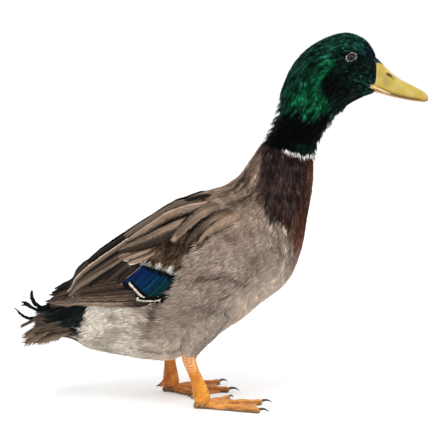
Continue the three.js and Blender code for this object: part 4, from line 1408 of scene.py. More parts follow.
def makeNape():
    # loose spikes behind the neck, in rows that leave gaps of light between them
    chance = np.random.default_rng(77)
    places = []
    for along in np.arange(napeLook["from"], napeLook["to"], napeLook["rowGap"] / 14.5):
        middle = along + chance.normal(0, 0.04)
        for angle in np.arange(-napeLook["reach"], napeLook["reach"] + 1, 5.5):
            places.append((middle + chance.normal(0, 0.02), angle + chance.normal(0, 1.2)))
    s, a = np.array(places).T
    count = len(s)
    tuft = {
        "barbs": napeLook["barbs"],
        "overlap": 1.3,
        "length": napeLook["length"] * (1 + chance.normal(0, 0.15, count)),
        "half": napeLook["half"],
        "depth": 6.2 - 3.4 * smooth(np.abs(a), 18, 40),
        "rise": 1.0 + chance.uniform(-0.9, 0.9, count),
        "turn": chance.normal(0, 5, count),
        "curl": chance.normal(0, 0.5, count),
        "loose": 0.8,
        "climb": 1.25,
    }
    made = growTufts(bodyPoint, s, a, tuft, 78)
    tint = tuftColours(made, plumageColour, 0, 0.25, 0.25, 0.8)
    maps = tuftMaps(made, *unwrapPlace(s, a))
    return joinTufts("coat_nape", [(made, tint, maps)], glossPlumage)


total = 0
for name, piece in coatPieces.items():
    faces = makeCoat(name, piece)
    total += faces
    print(name, faces, "triangles")
total += makeNape()


# thighs: short soft tufts down to the hock
thighLook = {"rows": 30, "around": 32, "length": 13.0, "half": 1.9, "barbs": 6, "depth": 2.4, "backward": 18}


def makeThighs():
    parts = []
    for number, side in enumerate(("right", "left")):
        chance = np.random.default_rng(60 + number)
        rows, around = thighLook["rows"], thighLook["around"]
        place = np.linspace(-0.2, 2.95, rows)[:, None] + chance.uniform(-0.05, 0.05, (rows, around))
        angle = (np.arange(around)[None, :] + 0.5 * (np.arange(rows) % 2)[:, None]) * 360 / around
        angle = angle + chance.uniform(-4, 4, place.shape)
        place, angle = place.ravel(), angle.ravel()
        size = len(place)
        below = np.maximum(place, 0)
        tuft = {
            "barbs": thighLook["barbs"],
            "overlap": 1.5,
            "length": thighLook["length"] * (1 + chance.normal(0, 0.16, size)) * (1.15 - 0.19 * below),
            "half": thighLook["half"] * (1.15 - 0.13 * place),
            "depth": thighLook["depth"] * (1.2 - 0.25 * below),
            "rise": 0.4,
            "turn": thighLook["backward"] * np.sin(np.radians(angle)) + chance.normal(0, 5, size),
            "curl": chance.normal(0, 0.6, size),
            "loose": 1.4,
            "leastU": 4.0,
        }

        def sheet(u, v):
            return legPoint(side, u, v)

        def zone(u, v, points):
            flat = points.reshape(-1, 3)
            colour = mix(plumageColour(*bodyCoordinates(flat), flat), plumage["flank"], 0.35)
            return colour.reshape(points.shape)

        made = growTufts(sheet, place, angle, tuft, 70 + number, lie=1.0, steps=(0.02, 1.0))
        tint = tuftColours(made, zone, 0, 0.075, 0.15, coatLook["rootShade"])
        maps = tuftMaps(made, 0.05 + 0.4 * number + 0.35 * (angle % 360) / 360, 0.05 + 0.2 * place / 3)
        parts.append((made, tint, maps))
    return joinTufts("coat_thighs", parts, softPlumage)


total += makeThighs()
print("coat made:", total, "triangles")


# columns across a vane, from its lower edge to its upper
vaneColumns = np.array([-1, -0.93, -0.82, -0.6, -0.35, -0.09, 0, 0.09, 0.35, 0.6, 0.82, 0.93, 1.0])
vaneShape = {  # what a vane has where nothing else is said; lengths in mm, places as shares of its length
    "rows": 24,
    "rising": 1.0,  # by here it has come up to its full height
    "roundFrom": 0.72,
    "pointed": 2.2,
    "fray": 0.03,
    "splits": 2,
    "camber": 1.2,
    "shaft": 0.22,
    "wave": 0.15,
    "tilt": 0.0,
    "slantBack": 0.25,
    "thick": 0.4,
    "fringe": None,  # barbs along each edge; none said: by its length
    "fringeLength": 3.0,
    "fringeWidth": 0.38,
}


def makeVane(sheet, base, middle, tip, vane, chance, flip=1.0, steps=(0.01, 0.5)):
    # one long feather on a sheet through three places (u, v), as a thin closed solid with loose barbs
    vane = {**vaneShape, **vane}
    rows = vane["rows"]
    t = np.linspace(0, 1, rows)
    base, middle, tip = (np.asarray(p, float) for p in (base, middle, tip))
    bend = 2 * middle - (base + tip) / 2
    path = (1 - t)[:, None] ** 2 * base + 2 * (t * (1 - t))[:, None] * bend + t[:, None] ** 2 * tip
    height = vane["low"] + (vane["high"] - vane["low"]) * np.minimum(1, t / vane["rising"])
    point, normal, alongU, alongV = surfaceFrame(sheet, path[:, 0], path[:, 1], flip, *steps)
    realLength = float(np.linalg.norm(np.diff(point, axis=0), axis=-1).sum())
    heading = unit(np.gradient(point, axis=0))
    lateral = unit(np.cross(normal, heading))
    lengthU = np.maximum(np.linalg.norm(alongU, axis=-1), 4.0)
    lengthV = np.maximum(np.linalg.norm(alongV, axis=-1), 0.05)
    moveU = np.einsum("ij,ij->i", lateral, unit(alongU)) / lengthU
    moveV = np.einsum("ij,ij->i", lateral, unit(alongV)) / lengthV
    start = vane["roundFrom"]
    tipShape = np.sqrt(limit(1 - limit((t - start) / (1 - start)) ** vane["pointed"]))
    width = np.minimum(1, 0.35 + np.sqrt(t) * 2.2) * np.maximum(tipShape, 0.03)
    x = vaneColumns[None, :] * width[:, None]
    for column in (0, -1):
        x[:, column] *= 1 + chance.normal(0, vane["fray"], rows)
    for _ in range(vane["splits"]):
        row = chance.integers(rows // 3, rows - 2)
        x[row, chance.choice([0, -1])] *= 1 - chance.uniform(0.08, 0.25)
    across = x * vane["half"]
    camber = vane["camber"] * (1 - vaneColumns[None, :] ** 2) * np.minimum(1, t[:, None] * 5)
    shaft = vane["shaft"] * np.exp(-((vaneColumns[None, :] / 0.05) ** 2))
    wave = np.sin(t * realLength / 3.1 + chance.uniform(0, 6))[:, None] * vaneColumns[None, :] ** 2
    out = height[:, None] + camber + shaft + vane["wave"] * wave + vane["tilt"] * vaneColumns[None, :]
    slide = vane["slantBack"] * np.abs(across) / realLength * (1 - t[:, None]) ** 0.5  # barbs lean to the tip
    u = path[:, :1] + moveU[:, None] * across + np.gradient(path[:, 0])[:, None] * (rows - 1) * slide
    v = path[:, 1:] + moveV[:, None] * across + np.gradient(path[:, 1])[:, None] * (rows - 1) * slide
    top = sheet(u, v, out)
    under = sheet(u, v, out - vane["thick"])
    columns = len(vaneColumns)
    index = np.arange(rows * columns).reshape(rows, columns)
    lower = index.copy()
    inner = lower[1:-1, 1:-1]
    lower[1:-1, 1:-1] = rows * columns + np.arange(inner.size).reshape(inner.shape)
    points = np.concatenate([top.reshape(-1, 3), under[1:-1, 1:-1].reshape(-1, 3)])

    def quadsOf(grid):
        return np.stack([grid[:-1, :-1], grid[:-1, 1:], grid[1:, 1:], grid[1:, :-1]], -1).reshape(-1, 4)

    upper = quadsOf(index)
    a, b, c = points[upper[:, 0]], points[upper[:, 1]], points[upper[:, 2]]
    facing = (np.cross(b - a, c - a) * normal[upper[:, 0] // columns]).sum()
    if facing < 0:
        quads = np.concatenate([upper[:, ::-1], quadsOf(lower)])
    else:
        quads = np.concatenate([upper, quadsOf(lower)[:, ::-1]])
    gridT = np.broadcast_to(t[:, None], (rows, columns))
    gridX = np.broadcast_to(vaneColumns[None, :], (rows, columns))
    colour = vane["colour"](gridT, gridX, chance, realLength)
    # the underside takes the top's colours at 0.8, a painted shade
    colour = np.concatenate([colour.reshape(-1, 3), colour[1:-1, 1:-1].reshape(-1, 3) * 0.8])

    def both(grid):
        return np.concatenate([grid.ravel(), grid[1:-1, 1:-1].ravel()])

    shift = chance.uniform(0, 60)
    vaneMap = np.stack([both(gridX) * vane["half"] * 0.1, both(gridT) * realLength * 0.1 + shift], -1)
    bake = np.stack([both(gridX) * 0.5 + 0.5, both(gridT)], -1)
    # loose barbs along both edges, each a slim closed spike
    count = int(realLength * 0.9) if vane["fringe"] is None else vane["fringe"]
    rowOf = chance.uniform(0.12, 0.985, count * 2) * (rows - 1)
    low = np.minimum(rowOf.astype(int), rows - 2)
    share = (rowOf - low)[:, None]
    right = np.arange(count * 2) % 2 == 1
    column = np.where(right, columns - 2, 1)
    root = top[low, column] * (1 - share) + top[low + 1, column] * share
    ahead = unit(heading[low] * (1 - share) + heading[low + 1] * share)
    out = unit(normal[low] * (1 - share) + normal[low + 1] * share)
    aside = np.cross(out, ahead) * np.where(right, 1, -1)[:, None]
    lean = np.radians(chance.uniform(12, 38, count * 2))[:, None]
    reach = vane["fringeLength"] * chance.uniform(0.5, 1.3, count * 2)[:, None]
    line = ahead * np.cos(lean) + aside * np.sin(lean)
    cross = np.cross(out, line) * vane["fringeWidth"]
    spikes = np.stack([root - cross, root + cross, root + out * 0.22, root + line * reach - out * 0.15], 1)
    first = len(points) + 4 * np.arange(count * 2)[:, None, None]
    triangles = (np.array([[2, 0, 3], [1, 2, 3], [0, 1, 3], [0, 2, 1]])[None] + first).reshape(-1, 3)
    spikeT = rowOf / (rows - 1)
    spikeX = np.where(right, 0.95, -0.95)
    spikeTint = np.repeat(vane["colour"](spikeT, spikeX, chance, realLength), 4, axis=0)
    local = np.array([[-1, 0], [1, 0], [0, 0], [0, 1]]) * np.array([0.04, 0.3])
    spikeMap = np.stack([spikeX * vane["half"] * 0.1, spikeT * realLength * 0.1 + shift], -1)
    spikeMap = (spikeMap[:, None] + local[None]).reshape(-1, 2)
    spikeBake = np.stack([spikeX * 0.45 + 0.5, spikeT * 0.97], -1)[:, None] + local[None] * 0.05
    return {
        "points": np.concatenate([points, spikes.reshape(-1, 3)]),
        "quads": quads,
        "triangles": triangles,
        "tint": np.concatenate([colour, spikeTint]),
        "vaneMap": np.concatenate([vaneMap, spikeMap]),
        "bake": np.concatenate([bake, spikeBake.reshape(-1, 2)]),
    }


def joinVanes(name, vanes, extra, material, mirror, nodes):
    # feathers as one piece, each with its own cell of the bake map
    cells = math.ceil(math.sqrt(len(vanes) + 1))
    numbers = [*range(len(vanes)), cells * cells - 1]
    parts = vanes + extra
    points, quads, triangles = joined([(made["points"], made["quads"], made["triangles"]) for made in parts])
    tint, vaneMap = (np.concatenate([made[key] for made in parts]) for key in ("tint", "vaneMap"))
    corners = [np.array([number % cells, number // cells]) for number in numbers]
    bake = np.concatenate(
        [(corner + made["bake"] * 0.9 + 0.05) / cells for corner, made in zip(corners, parts)]
    )
    if mirror:
        points = points * np.array([1, -1, 1])
        quads = quads[:, ::-1]
        triangles = triangles[:, ::-1]
    piece = makeMesh(name, points, quads, triangles, tint, {"OFBake": bake, "vaneMap": vaneMap}, material)
    if nodes:
        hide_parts(*nodes)
    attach(piece, "root")
    print(name, len(quads) * 2 + len(triangles), "triangles")
    return piece


def barbShape(t):
    # one draw for each column of a vane's grid, or for each loose barb
    return (1, t.shape[-1]) if t.ndim == 2 else t.shape


def vaneColour(
    base, upper=None, lower=None, topEdge=None, lowEdge=None, edgeWidth=0.10, root=None, rootTo=0.3,
):
    # colour over a vane: its middle, its upper and lower half, a narrow edge on either side and its root;
    # where a caller gives lighter and darker copies of the middle, the halves are painted light and shade
    def colour(t, x, chance, length):
        line = chance.normal(0, 0.26, barbShape(t))
        made = (
            np.broadcast_to(base, t.shape + (3,))
            * np.exp(line + 0.08 * chance.normal(0, 1, t.shape))[..., None]
        )
        if upper is not None:
            made = mix(made, upper, smooth(x, 0.0, 0.75))
        if lower is not None:
            made = mix(made, lower, smooth(-x, 0.1, 0.8))
        edge = chance.normal(0, 0.02, t.shape)
        if topEdge is not None:
            made = mix(made, topEdge, smooth(x + edge, 1 - edgeWidth * 1.6, 1 - edgeWidth * 0.5))
        if lowEdge is not None:
            made = mix(made, lowEdge, smooth(edge - x, 1 - edgeWidth * 1.6, 1 - edgeWidth * 0.5))
        if root is not None:
            made = mix(made, root, 1 - smooth(t + 0.04 * chance.normal(0, 1, t.shape), rootTo * 0.5, rootTo))
        return made * np.exp(0.6 * line)[..., None]

    return colour


wingLook = {
    "black": (0.004, 0.0035, 0.003),
    "darkBrown": (0.024, 0.016, 0.011),
    "brown": (0.055, 0.036, 0.025),
    "covert": (0.024, 0.015, 0.009),
    "covertLight": (0.19, 0.120, 0.078),
    "greyBrown": (0.120, 0.085, 0.059),
    "greyLight": (0.20, 0.152, 0.114),
    "tan": (0.21, 0.144, 0.099),
    "tanLight": (0.36, 0.255, 0.181),
    "rosy": (0.235, 0.161, 0.116),
    "cream": (0.80, 0.64, 0.50),
    "white": (0.98, 0.89, 0.76),
    "violet": (0.0015, 0.0120, 0.062),
    "blue": (0.0008, 0.019, 0.060),
    "teal": (0.002, 0.026, 0.029),
    "covertTips": (
        [38, 42, 50, 56, 62, 65, 71, 76, 80, 86], [3.9, 4.0, 4.2, 4.5, 4.88, 5.03, 5.32, 5.52, 5.72, 5.95]
    ),
    "covertTops": ([38, 40, 47, 53, 62, 66, 70, 74, 82], [4.0, 4.2, 5.0, 5.8, 6.6, 6.7, 6.3, 6.05, 5.95]),
    "covertTurn": ([40, 55, 66, 80], [8, 26, 44, 54]),
}


def secondaryColour(share):
    # the bright patch: blue with a black end; share runs from its upper feather to its lower
    def colour(t, x, chance, length):
        fromTip = (1 - t) * length + 0.8 * x + chance.normal(0, 0.35, t.shape)
        lean = share + 0.35 * (t - 0.5) - 0.06 * x
        glow = mix(wingLook["violet"], wingLook["blue"], smooth(lean, 0.06, 0.34))
        glow = mix(glow, wingLook["teal"], smooth(lean + 0.06 * chance.normal(0, 1, t.shape), 0.42, 0.95))
        glow = glow * np.exp(chance.normal(-0.05, 0.36, barbShape(t)))[..., None]
        glow = mix(glow, wingLook["black"], smooth(lean, 0.70, 1.10) * 0.75)
        made = mix(glow, wingLook["black"], 1 - smooth(fromTip, 3.2, 7.2))
        made = mix(made, wingLook["black"], (1 - smooth(lean, 0.0, 0.17)) * (1 - smooth(fromTip, 11, 24)))
        return mix(made, wingLook["black"], smooth(t, 0.05, 0.2) * (1 - smooth(t, 0.2, 0.3)) * 0.8)

    return colour


def scallop(angle):
    # from -1 to 1 and back over each covert's width of 6.4 degrees
    return np.cos((angle - 40) * 2 * np.pi / 6.4)


def covertZone(along, angle, points):
    # brown wing coverts with pale ragged tips, black past them
    past = along - np.interp(angle, *wingLook["covertTips"]) - 0.075 + 1.5 * (1 - smooth(angle, 54.5, 56.5))
    fine = ripple(points, 2.0, 61)
    streak = strands(along, angle, 6.0, 1.3, 65)
    light = limit(0.26 + 0.30 * fine + 0.25 * ripple(points, 8, 62) + 0.40 * streak)
    colour = mix(wingLook["covert"], wingLook["covertLight"], light)
    width = np.interp(angle, [40, 58, 74, 84], [0.03, 0.055, 0.082, 0.090]) * (0.95 + 0.35 * scallop(angle))
    tip = mix(wingLook["cream"], wingLook["white"], smooth(angle, 48, 58))
    colour = mix(colour, tip, 1 - smooth(past + 0.012 * fine, width - 0.008, width + 0.008))
    return mix(colour, wingLook["black"], 1 - smooth(past, -0.032, -0.026))


def rootsFrom(tips, length, turn):
    # where tufts must root for their tips to lie at given places of the wing
    _, _, alongU, alongV = surfaceFrame(wingPoint, tips[:, 0], tips[:, 1])
    lean = np.radians(turn)
    s = tips[:, 0] + length * np.cos(lean) / np.linalg.norm(alongU, axis=-1)
    a = tips[:, 1] - length * np.sin(lean) / np.linalg.norm(alongV, axis=-1)
    return s, a


def wingUnwrap(s, a):
    return 0.05 + 0.9 * (a - 30) / 60, 0.05 + 0.9 * (s - 3.5) / 4


def makeCoverts(side):
    # soft tufts over the roots of the bright patch, their tips in one ragged line
    chance = np.random.default_rng(86 if side == "right" else 87)
    tips = []
    for angle in np.arange(45, 84, 1.6):
        line = np.interp(angle, *wingLook["covertTips"])
        line = line - 0.05 * scallop(angle)
        top = max(line + 0.1, np.interp(angle, *wingLook["covertTops"]))
        ends = [line - 0.17, line - 0.13, line - 0.09] if angle > 54 else []
        for along in np.concatenate([ends, [line, line + 0.03], np.arange(line + 0.09, top, 0.085)]):
            tips.append((along + chance.normal(0, 0.015), angle + chance.normal(0, 0.6)))
    tips = np.array(tips)
    count = len(tips)
    length = 12 * (1 + chance.normal(0, 0.08, count))
    turn = np.interp(tips[:, 1], *wingLook["covertTurn"]) + chance.normal(0, 6, count)
    s, a = rootsFrom(tips, length, turn)
    past = tips[:, 0] - np.interp(tips[:, 1], *wingLook["covertTips"])
    tuft = {
        "barbs": 11,
        "overlap": 1.4,
        "length": length,
        "half": 2.7 * (1 + chance.normal(0, 0.1, count)),
        "depth": -1.4,
        "rise": 3.5 + 0.5 * smooth(past, -0.10, -0.02) + chance.uniform(0, 0.4, count),
        "turn": turn,
        "curl": chance.normal(0, 0.7, count),
        "loose": 0.9,
        "dome": 0.10,
    }
    made = growTufts(wingPoint, s, a, tuft, 88)
    tint = tuftColours(made, covertZone, 0.004, 0.20, 0.40, 0.70, 1.1)
    parts = [(made, tint, tuftMaps(made, *wingUnwrap(s, a)))]
    for number, bar in enumerate(barRows):
        parts.append(makeBar(bar, 4.6, 0.0, 0.0, wingLook["white"], 0.06, 0.75, 180 + number))
        parts.append(makeBar(bar, 3.0, 2.2, 0.5, wingLook["black"], 0.3, 0.8, 182 + number))
    return joinTufts("wing_" + side + "_coverts", parts, softPlumage, side == "right")


barRows = [  # the white lines past the bright patch: the path of the tips
    {
        "path": ((4.20, 70.8), (4.28, 73.8), (4.38, 78.0), (4.49, 82.0), (4.60, 84.4)), "count": 58,
        "rise": 3.4,
    },
    {"path": ((4.38, 84.9), (4.64, 86.7), (4.98, 88.4)), "count": 50, "rise": 3.3},
]


def makeBar(bar, size, back, rise, tint, spread, rootShade, seed):
    # short tufts whose tips follow one line, or lie a little back from it
    chance = np.random.default_rng(seed)
    path = np.array(bar["path"])
    place = np.linspace(0, len(path) - 1, bar["count"]) + chance.normal(0, 0.02, bar["count"])
    tips = np.stack(list(tableAt(path, place, 2)), -1)
    count = len(tips)
    length = size * (1 + chance.normal(0, 0.06, count))
    turn = 28 + chance.normal(0, 6, count)
    s, a = rootsFrom(tips, length + back, turn)
    tuft = {
        "barbs": 6,
        "overlap": 1.5,
        "length": length,
        "half": 1.15,
        "depth": -1.8,
        "rise": bar["rise"] + rise,
        "turn": turn,
        "curl": chance.normal(0, 0.2, count),
        "loose": 0.4,
        "dome": 0.10,
    }
    made = growTufts(wingPoint, s, a, tuft, seed)

    def zone(along, angle, points):
        return np.broadcast_to(tint, points.shape)

    tint = tuftColours(made, zone, 0, spread, spread, rootShade, 1.0)
    return made, tint, tuftMaps(made, *wingUnwrap(s, a))


def lineOf(first, last, count):
    share = np.linspace(0, 1, count)[:, None]
    return np.array(first) * (1 - share) + np.array(last) * share


def wingBase():
    # the closed pad under the feathers
    rows, columns = 60, 16
    along = np.linspace(7.2, 0.3, rows)[:, None] + np.zeros(columns)
    upper = np.interp(along, wingPlaces[:, 0], wingPlaces[:, 1]) + 4
    lower = np.interp(along, wingPlaces[:, 0], wingPlaces[:, 2]) - 6 - 24 * smooth(along, 6.2, 7.2)
    angle = upper + (lower - upper) * np.linspace(0, 1, columns)[None, :]
    taper = np.minimum(1, 0.2 + 1.6 * (7.2 - along))
    top = wingPoint(along, angle, 0.9 * taper)
    fill = np.interp(along, [0.3, 1.2, 2.0, 3.0], [0.02, 0.2, 0.6, 1.0])
    under = bodyPoint(along, angle, wingLift(along, angle) * (1 - fill) - 0.8 - 1.6 * fill)
    rings = np.concatenate([top, under[:, ::-1]], axis=1)
    points, quads, triangles = closedTube(rings)
    flat = flatBox(points)
    return {
        "points": points,
        "quads": quads,
        "triangles": triangles,
        "tint": uneven(wingLook["brown"], points, 0.2, 6, 71),
        "bake": flat,
        "vaneMap": flat * 10,
    }


secondaryTips = (  # share over the bright patch, and the places along and round of the tips
    [0.0, 0.33, 0.5, 0.66, 0.8, 1.0],
    [3.99, 4.22, 4.34, 4.50, 4.70, 5.02],
    [68.8, 76.0, 79.8, 83.6, 86.4, 88.8],
)


def lobeColour(tint, light, shade, edge=None, darkSide=1, darkFrom=0.45, darkTo=1.2, bulge=0.40, darkAt=0.30):
    # a rounded soft feather: painted light on its bulge, a deep painted shade along one side and a pale edge
    # at the tip
    def colour(t, x, chance, length):
        line = chance.normal(0, 0.30, barbShape(t))
        made = np.broadcast_to(tint, t.shape + (3,)) * np.exp(0.12 * chance.normal(0, 1, t.shape))[..., None]
        made = mix(made, light, np.exp(-(((t - bulge) / 0.16) ** 2) - ((x * darkSide + 0.30) / 0.50) ** 2))
        made = made * np.exp(line)[..., None]
        uneven = 0.10 * chance.normal(0, 1, t.shape)
        deep = (
            smooth(x * darkSide + uneven, darkAt - 0.22, darkAt + 0.42) * between(t, darkFrom, darkTo, 0.10)
        )
        made = mix(made, shade, deep)
        # painted shade along both edges, short of the tip
        made = made * (1 - 0.45 * smooth(np.abs(x), 0.86, 0.98) * (1 - smooth(t, 0.80, 0.92)))[..., None]
        if edge is not None:
            made = mix(made, edge, smooth(t + 0.05 * uneven, 0.90, 0.96) * 0.8)
            made = mix(made, edge, smooth(-x * darkSide, 0.84, 0.97) * smooth(t, 0.5, 0.7) * 0.8)
        return made

    return colour


# each feather's light colour is its painted light on the bulge, its shade colour its painted shade
scapulars = [  # soft feathers of the shoulder, from the lowest to the highest
    {
        "path": ((8.9, 60), (7.35, 58.0), (6.42, 65.5)), "half": 6.6, "high": 3.2,
        "tint": "tan", "light": "rosy", "darkFrom": 0.5,
    },
    {
        "path": ((8.5, 49), (7.0, 52.5), (6.05, 61.5)), "half": 7.6, "high": 4.0,
        "tint": "brown", "light": "tan", "darkFrom": 0.40,
    },
    {
        "path": ((7.9, 35), (6.72, 41.0), (5.66, 53.5)), "half": 8.2, "high": 4.4,
        "tint": "greyBrown", "light": "rosy", "edge": "tanLight",
        "darkFrom": 0.5, "darkTo": 0.80, "darkAt": 0.35, "bulge": 0.48,
    },
    {
        "path": ((7.3, 42), (5.55, 42.5), (3.92, 36.3)), "half": 8.4, "high": 5.0, "roundFrom": 0.45,
        "tint": "greyBrown", "light": "rosy", "shade": "darkBrown",
        "darkSide": -1, "darkFrom": 0.12, "darkAt": 0.05,
    },
    {
        "path": ((7.6, 35), (5.9, 29.0), (4.2, 31.0)), "half": 6.8, "high": 5.6, "roundFrom": 0.5,
        "tint": "rosy", "light": "tan", "shade": "darkBrown",
        "darkSide": -1, "darkFrom": 0.10, "darkAt": 0.50, "bulge": 0.55,
    },
]
tertials = [  # path, half width, height and colours: middle, upper half, lower half, lower edge
    (((5.0, 50), (4.35, 59.0), (3.84, 66.6)), 4.6, 2.4, "darkBrown", "black", "darkBrown", "cream"),
    (((4.8, 48), (4.05, 55.5), (3.35, 63.5)), 4.8, 2.7, "brown", "black", "darkBrown", "black"),
    (((4.7, 43), (3.75, 51.0), (2.8, 57.0)), 5.2, 3.0, "black", "black", "darkBrown", "black"),
    (((4.6, 40), (3.2, 48.5), (1.02, 39.5)), 5.6, 3.3, "greyBrown", "black", "brown", "cream"),
    (((4.5, 36), (3.3, 42.5), (1.6, 40.0)), 4.2, 3.7, "brown", "black", "brown", "greyLight"),
]
ridgeFeathers = [  # path, half width, height and colours: middle and upper edge
    (((3.3, 15), (1.7, 12), (0.35, 17.5)), 4.5, 2.2, "black", "darkBrown"),
    (((4.7, 21), (3.0, 20.5), (0.9, 21.5)), 4.8, 2.4, "darkBrown", "brown"),
    (((4.8, 20), (3.72, 18.5), (2.8, 21.0)), 5.0, 3.4, "black", "black"),
    (((6.9, 20), (5.4, 16.5), (3.7, 19.5)), 5.4, 3.2, "greyBrown", "greyLight"),
    (((6.4, 13), (5.2, 11.5), (4.1, 14.0)), 4.6, 2.6, "greyBrown", "greyLight"),
    (((7.4, 19), (6.5, 16.8), (5.75, 17.5)), 3.0, 1.9, "black", "darkBrown"),
]
edgedCoverts = [  # paths of the three coverts with cream edges at the upper end of the row
    ((5.2, 54), (4.75, 53.8), (4.22, 52.6)),
    ((5.1, 50), (4.6, 49.0), (4.05, 47.6)),
    ((5.0, 45), (4.45, 44.0), (3.90, 41.8)),
]
secondaries = 12


def makeWing(side):
    chance = np.random.default_rng(81 if side == "right" else 82)
    look = wingLook
    plain, shiny = [], []

    def lay(target, base, middle, tip, **vane):
        target.append(makeVane(wingPoint, base, middle, tip, vane, chance))

    # long flight feathers, the lowest layer: pale below, darker above
    for i in range(6):
        tint, upper, rootTo = ("rosy", "greyLight", 0.40) if i < 2 else ("brown", "black", 0.2)
        colour = vaneColour(
            look[tint], look[upper], lowEdge=look["greyLight"], root=look["darkBrown"], rootTo=rootTo,
        )
        lay(
            plain, (4.80 - 0.05 * i, 86.5 - 2.1 * i), (3.2 - 0.03 * i, 79.0 - 2.3 * i),
            (0.45 - 0.07 * i, 39 - 2.4 * i), half=3.4, low=0.7 + 0.3 * i, high=1.3 + 0.35 * i,
            roundFrom=0.86, pointed=1.6, rows=44, camber=0.6, fringeLength=1.4, tilt=-0.3, colour=colour,
        )
    for i in range(3):
        colour = vaneColour(
            look["darkBrown"], look["black"], look["brown"], lowEdge=look["greyBrown"], edgeWidth=0.07,
        )
        lay(
            plain, (4.35, 75 - 4 * i), (3.1, 66 - 4.5 * i), (1.5 - 0.35 * i, 48 - 4.5 * i),
            half=4.4, low=-0.6, high=2.8 + 0.3 * i, rising=0.3, roundFrom=0.8, rows=40, camber=0.8,
            fringeLength=1.8, colour=colour,
        )
    for path, half, low, tint, upper, lower, edge in tertials:
        colour = vaneColour(look[tint], look[upper], look[lower], lowEdge=look[edge], edgeWidth=0.05)
        lay(
            plain, *path, half=half, low=low, high=low + 0.6, roundFrom=0.7, rows=44, tilt=0.4,
            fringeLength=2.0, colour=colour,
        )
    # secondaries with the bright patch, from the lowest layer up
    share = np.linspace(0, 1, secondaries)
    tips = np.stack([np.interp(share, secondaryTips[0], places) for places in secondaryTips[1:]], -1)
    bases = lineOf((5.30, 50), (6.10, 76), secondaries)
    for i in range(secondaries - 1, -1, -1):
        above = secondaries - 1 - i
        lay(
            shiny, bases[i], (bases[i] + tips[i]) / 2 + np.array([-0.05, 0.6]), tips[i],
            half=3.9, low=1.3 + 0.11 * above, high=1.5 + 0.12 * above, roundFrom=0.965, pointed=5, rows=50,
            camber=0.3, tilt=-0.2, splits=0, shaft=0.05, fray=0.0, slantBack=0.2,
            fringe=44, fringeLength=2.0, fringeWidth=0.3, colour=secondaryColour(share[i]),
        )
    # the thin pale edge along the upper side of the bright patch
    colour = vaneColour(
        look["black"], look["darkBrown"], look["black"], lowEdge=look["tanLight"], edgeWidth=0.24
    )
    lay(
        plain, (5.0, 53), (4.42, 60.2), (3.82, 67.6), half=1.9, low=2.6, high=3.2, roundFrom=0.5,
        pointed=1.2, rows=30, camber=0.8, fringeLength=1.0, colour=colour,
    )
    for path, half, high, tint, edge in ridgeFeathers:
        # the lower half a darker copy of the middle: painted shade
        colour = vaneColour(
            look[tint], lower=np.multiply(look[tint], 0.6), topEdge=look[edge], edgeWidth=0.12
        )
        lay(
            plain, *path, half=half, low=-1.0, high=high + 0.6, rising=0.3, roundFrom=0.6, rows=40,
            camber=1.0, colour=colour,
        )
    # the long feather with a cream upper edge; its tan upper half is painted light, its dark brown lower half
    # and black lower edge painted shade
    colour = vaneColour(look["greyBrown"], look["tan"], look["darkBrown"], look["cream"], look["black"], 0.20)
    lay(
        plain, (6.5, 21), (3.5, 32.5), (0.95, 34.0), half=3.9, low=-0.5, high=4.8, rising=0.3,
        roundFrom=0.75, rows=64, camber=0.8, tilt=0.5, fringe=90, fringeLength=2.0, colour=colour,
    )
    for path in edgedCoverts:
        colour = vaneColour(look["tan"], look["brown"], look["tan"], lowEdge=look["cream"], edgeWidth=0.26)
        lay(
            plain, *path, half=3.4, low=3.6, high=4.2, rows=30, roundFrom=0.55, camber=0.8, tilt=0.3,
            fringeLength=1.6, colour=colour,
        )
    for feather in scapulars:
        edge = look[feather["edge"]] if "edge" in feather else None
        keys = [key for key in ("darkSide", "darkFrom", "darkTo", "darkAt", "bulge") if key in feather]
        colour = lobeColour(
            look[feather["tint"]], look[feather["light"]], look[feather.get("shade", "black")], edge,
            **{key: feather[key] for key in keys},
        )
        lay(
            plain, *feather["path"], half=feather["half"], low=-3.2, high=feather["high"], rising=0.60,
            camber=1.7, rows=44, roundFrom=feather.get("roundFrom", 0.35), pointed=1.7, fray=0.05,
            fringe=90, fringeLength=3.2, tilt=0.2, colour=colour,
        )
    wing = "wing_" + side
    mirror = side == "right"
    joinVanes(wing + "_feathers", plain, [wingBase()], vanePlumage, mirror, [wing])
    joinVanes(wing + "_patch", shiny, [], mirrorPlumage, mirror, [])
    return makeCoverts(side)


for side in ("right", "left"):
    print("wing coverts", side, makeWing(side), "triangles")


tailLook = {
    "brown": (0.155, 0.108, 0.075),
    "dark": (0.036, 0.027, 0.021),
    "pale": (0.28, 0.21, 0.15),
    "feathers": 11,
    "half": 3.6,
    "notch": (0.28, 0.62),  # feathers between these shares of the half fan are shorter
}


tailTop = {
    "roundFrom": 0.40, "pointed": 1.1, "rows": 30, "camber": 0.9, "fray": 0.14, "splits": 4,
    "fringe": 110, "fringeLength": 6.0, "fringeWidth": 0.24,
}
tailUnder = {
    "roundFrom": 0.5, "pointed": 1.3, "rows": 26, "camber": 0.4,
    "fringe": 70, "fringeLength": 5.5, "fringeWidth": 0.28,
}


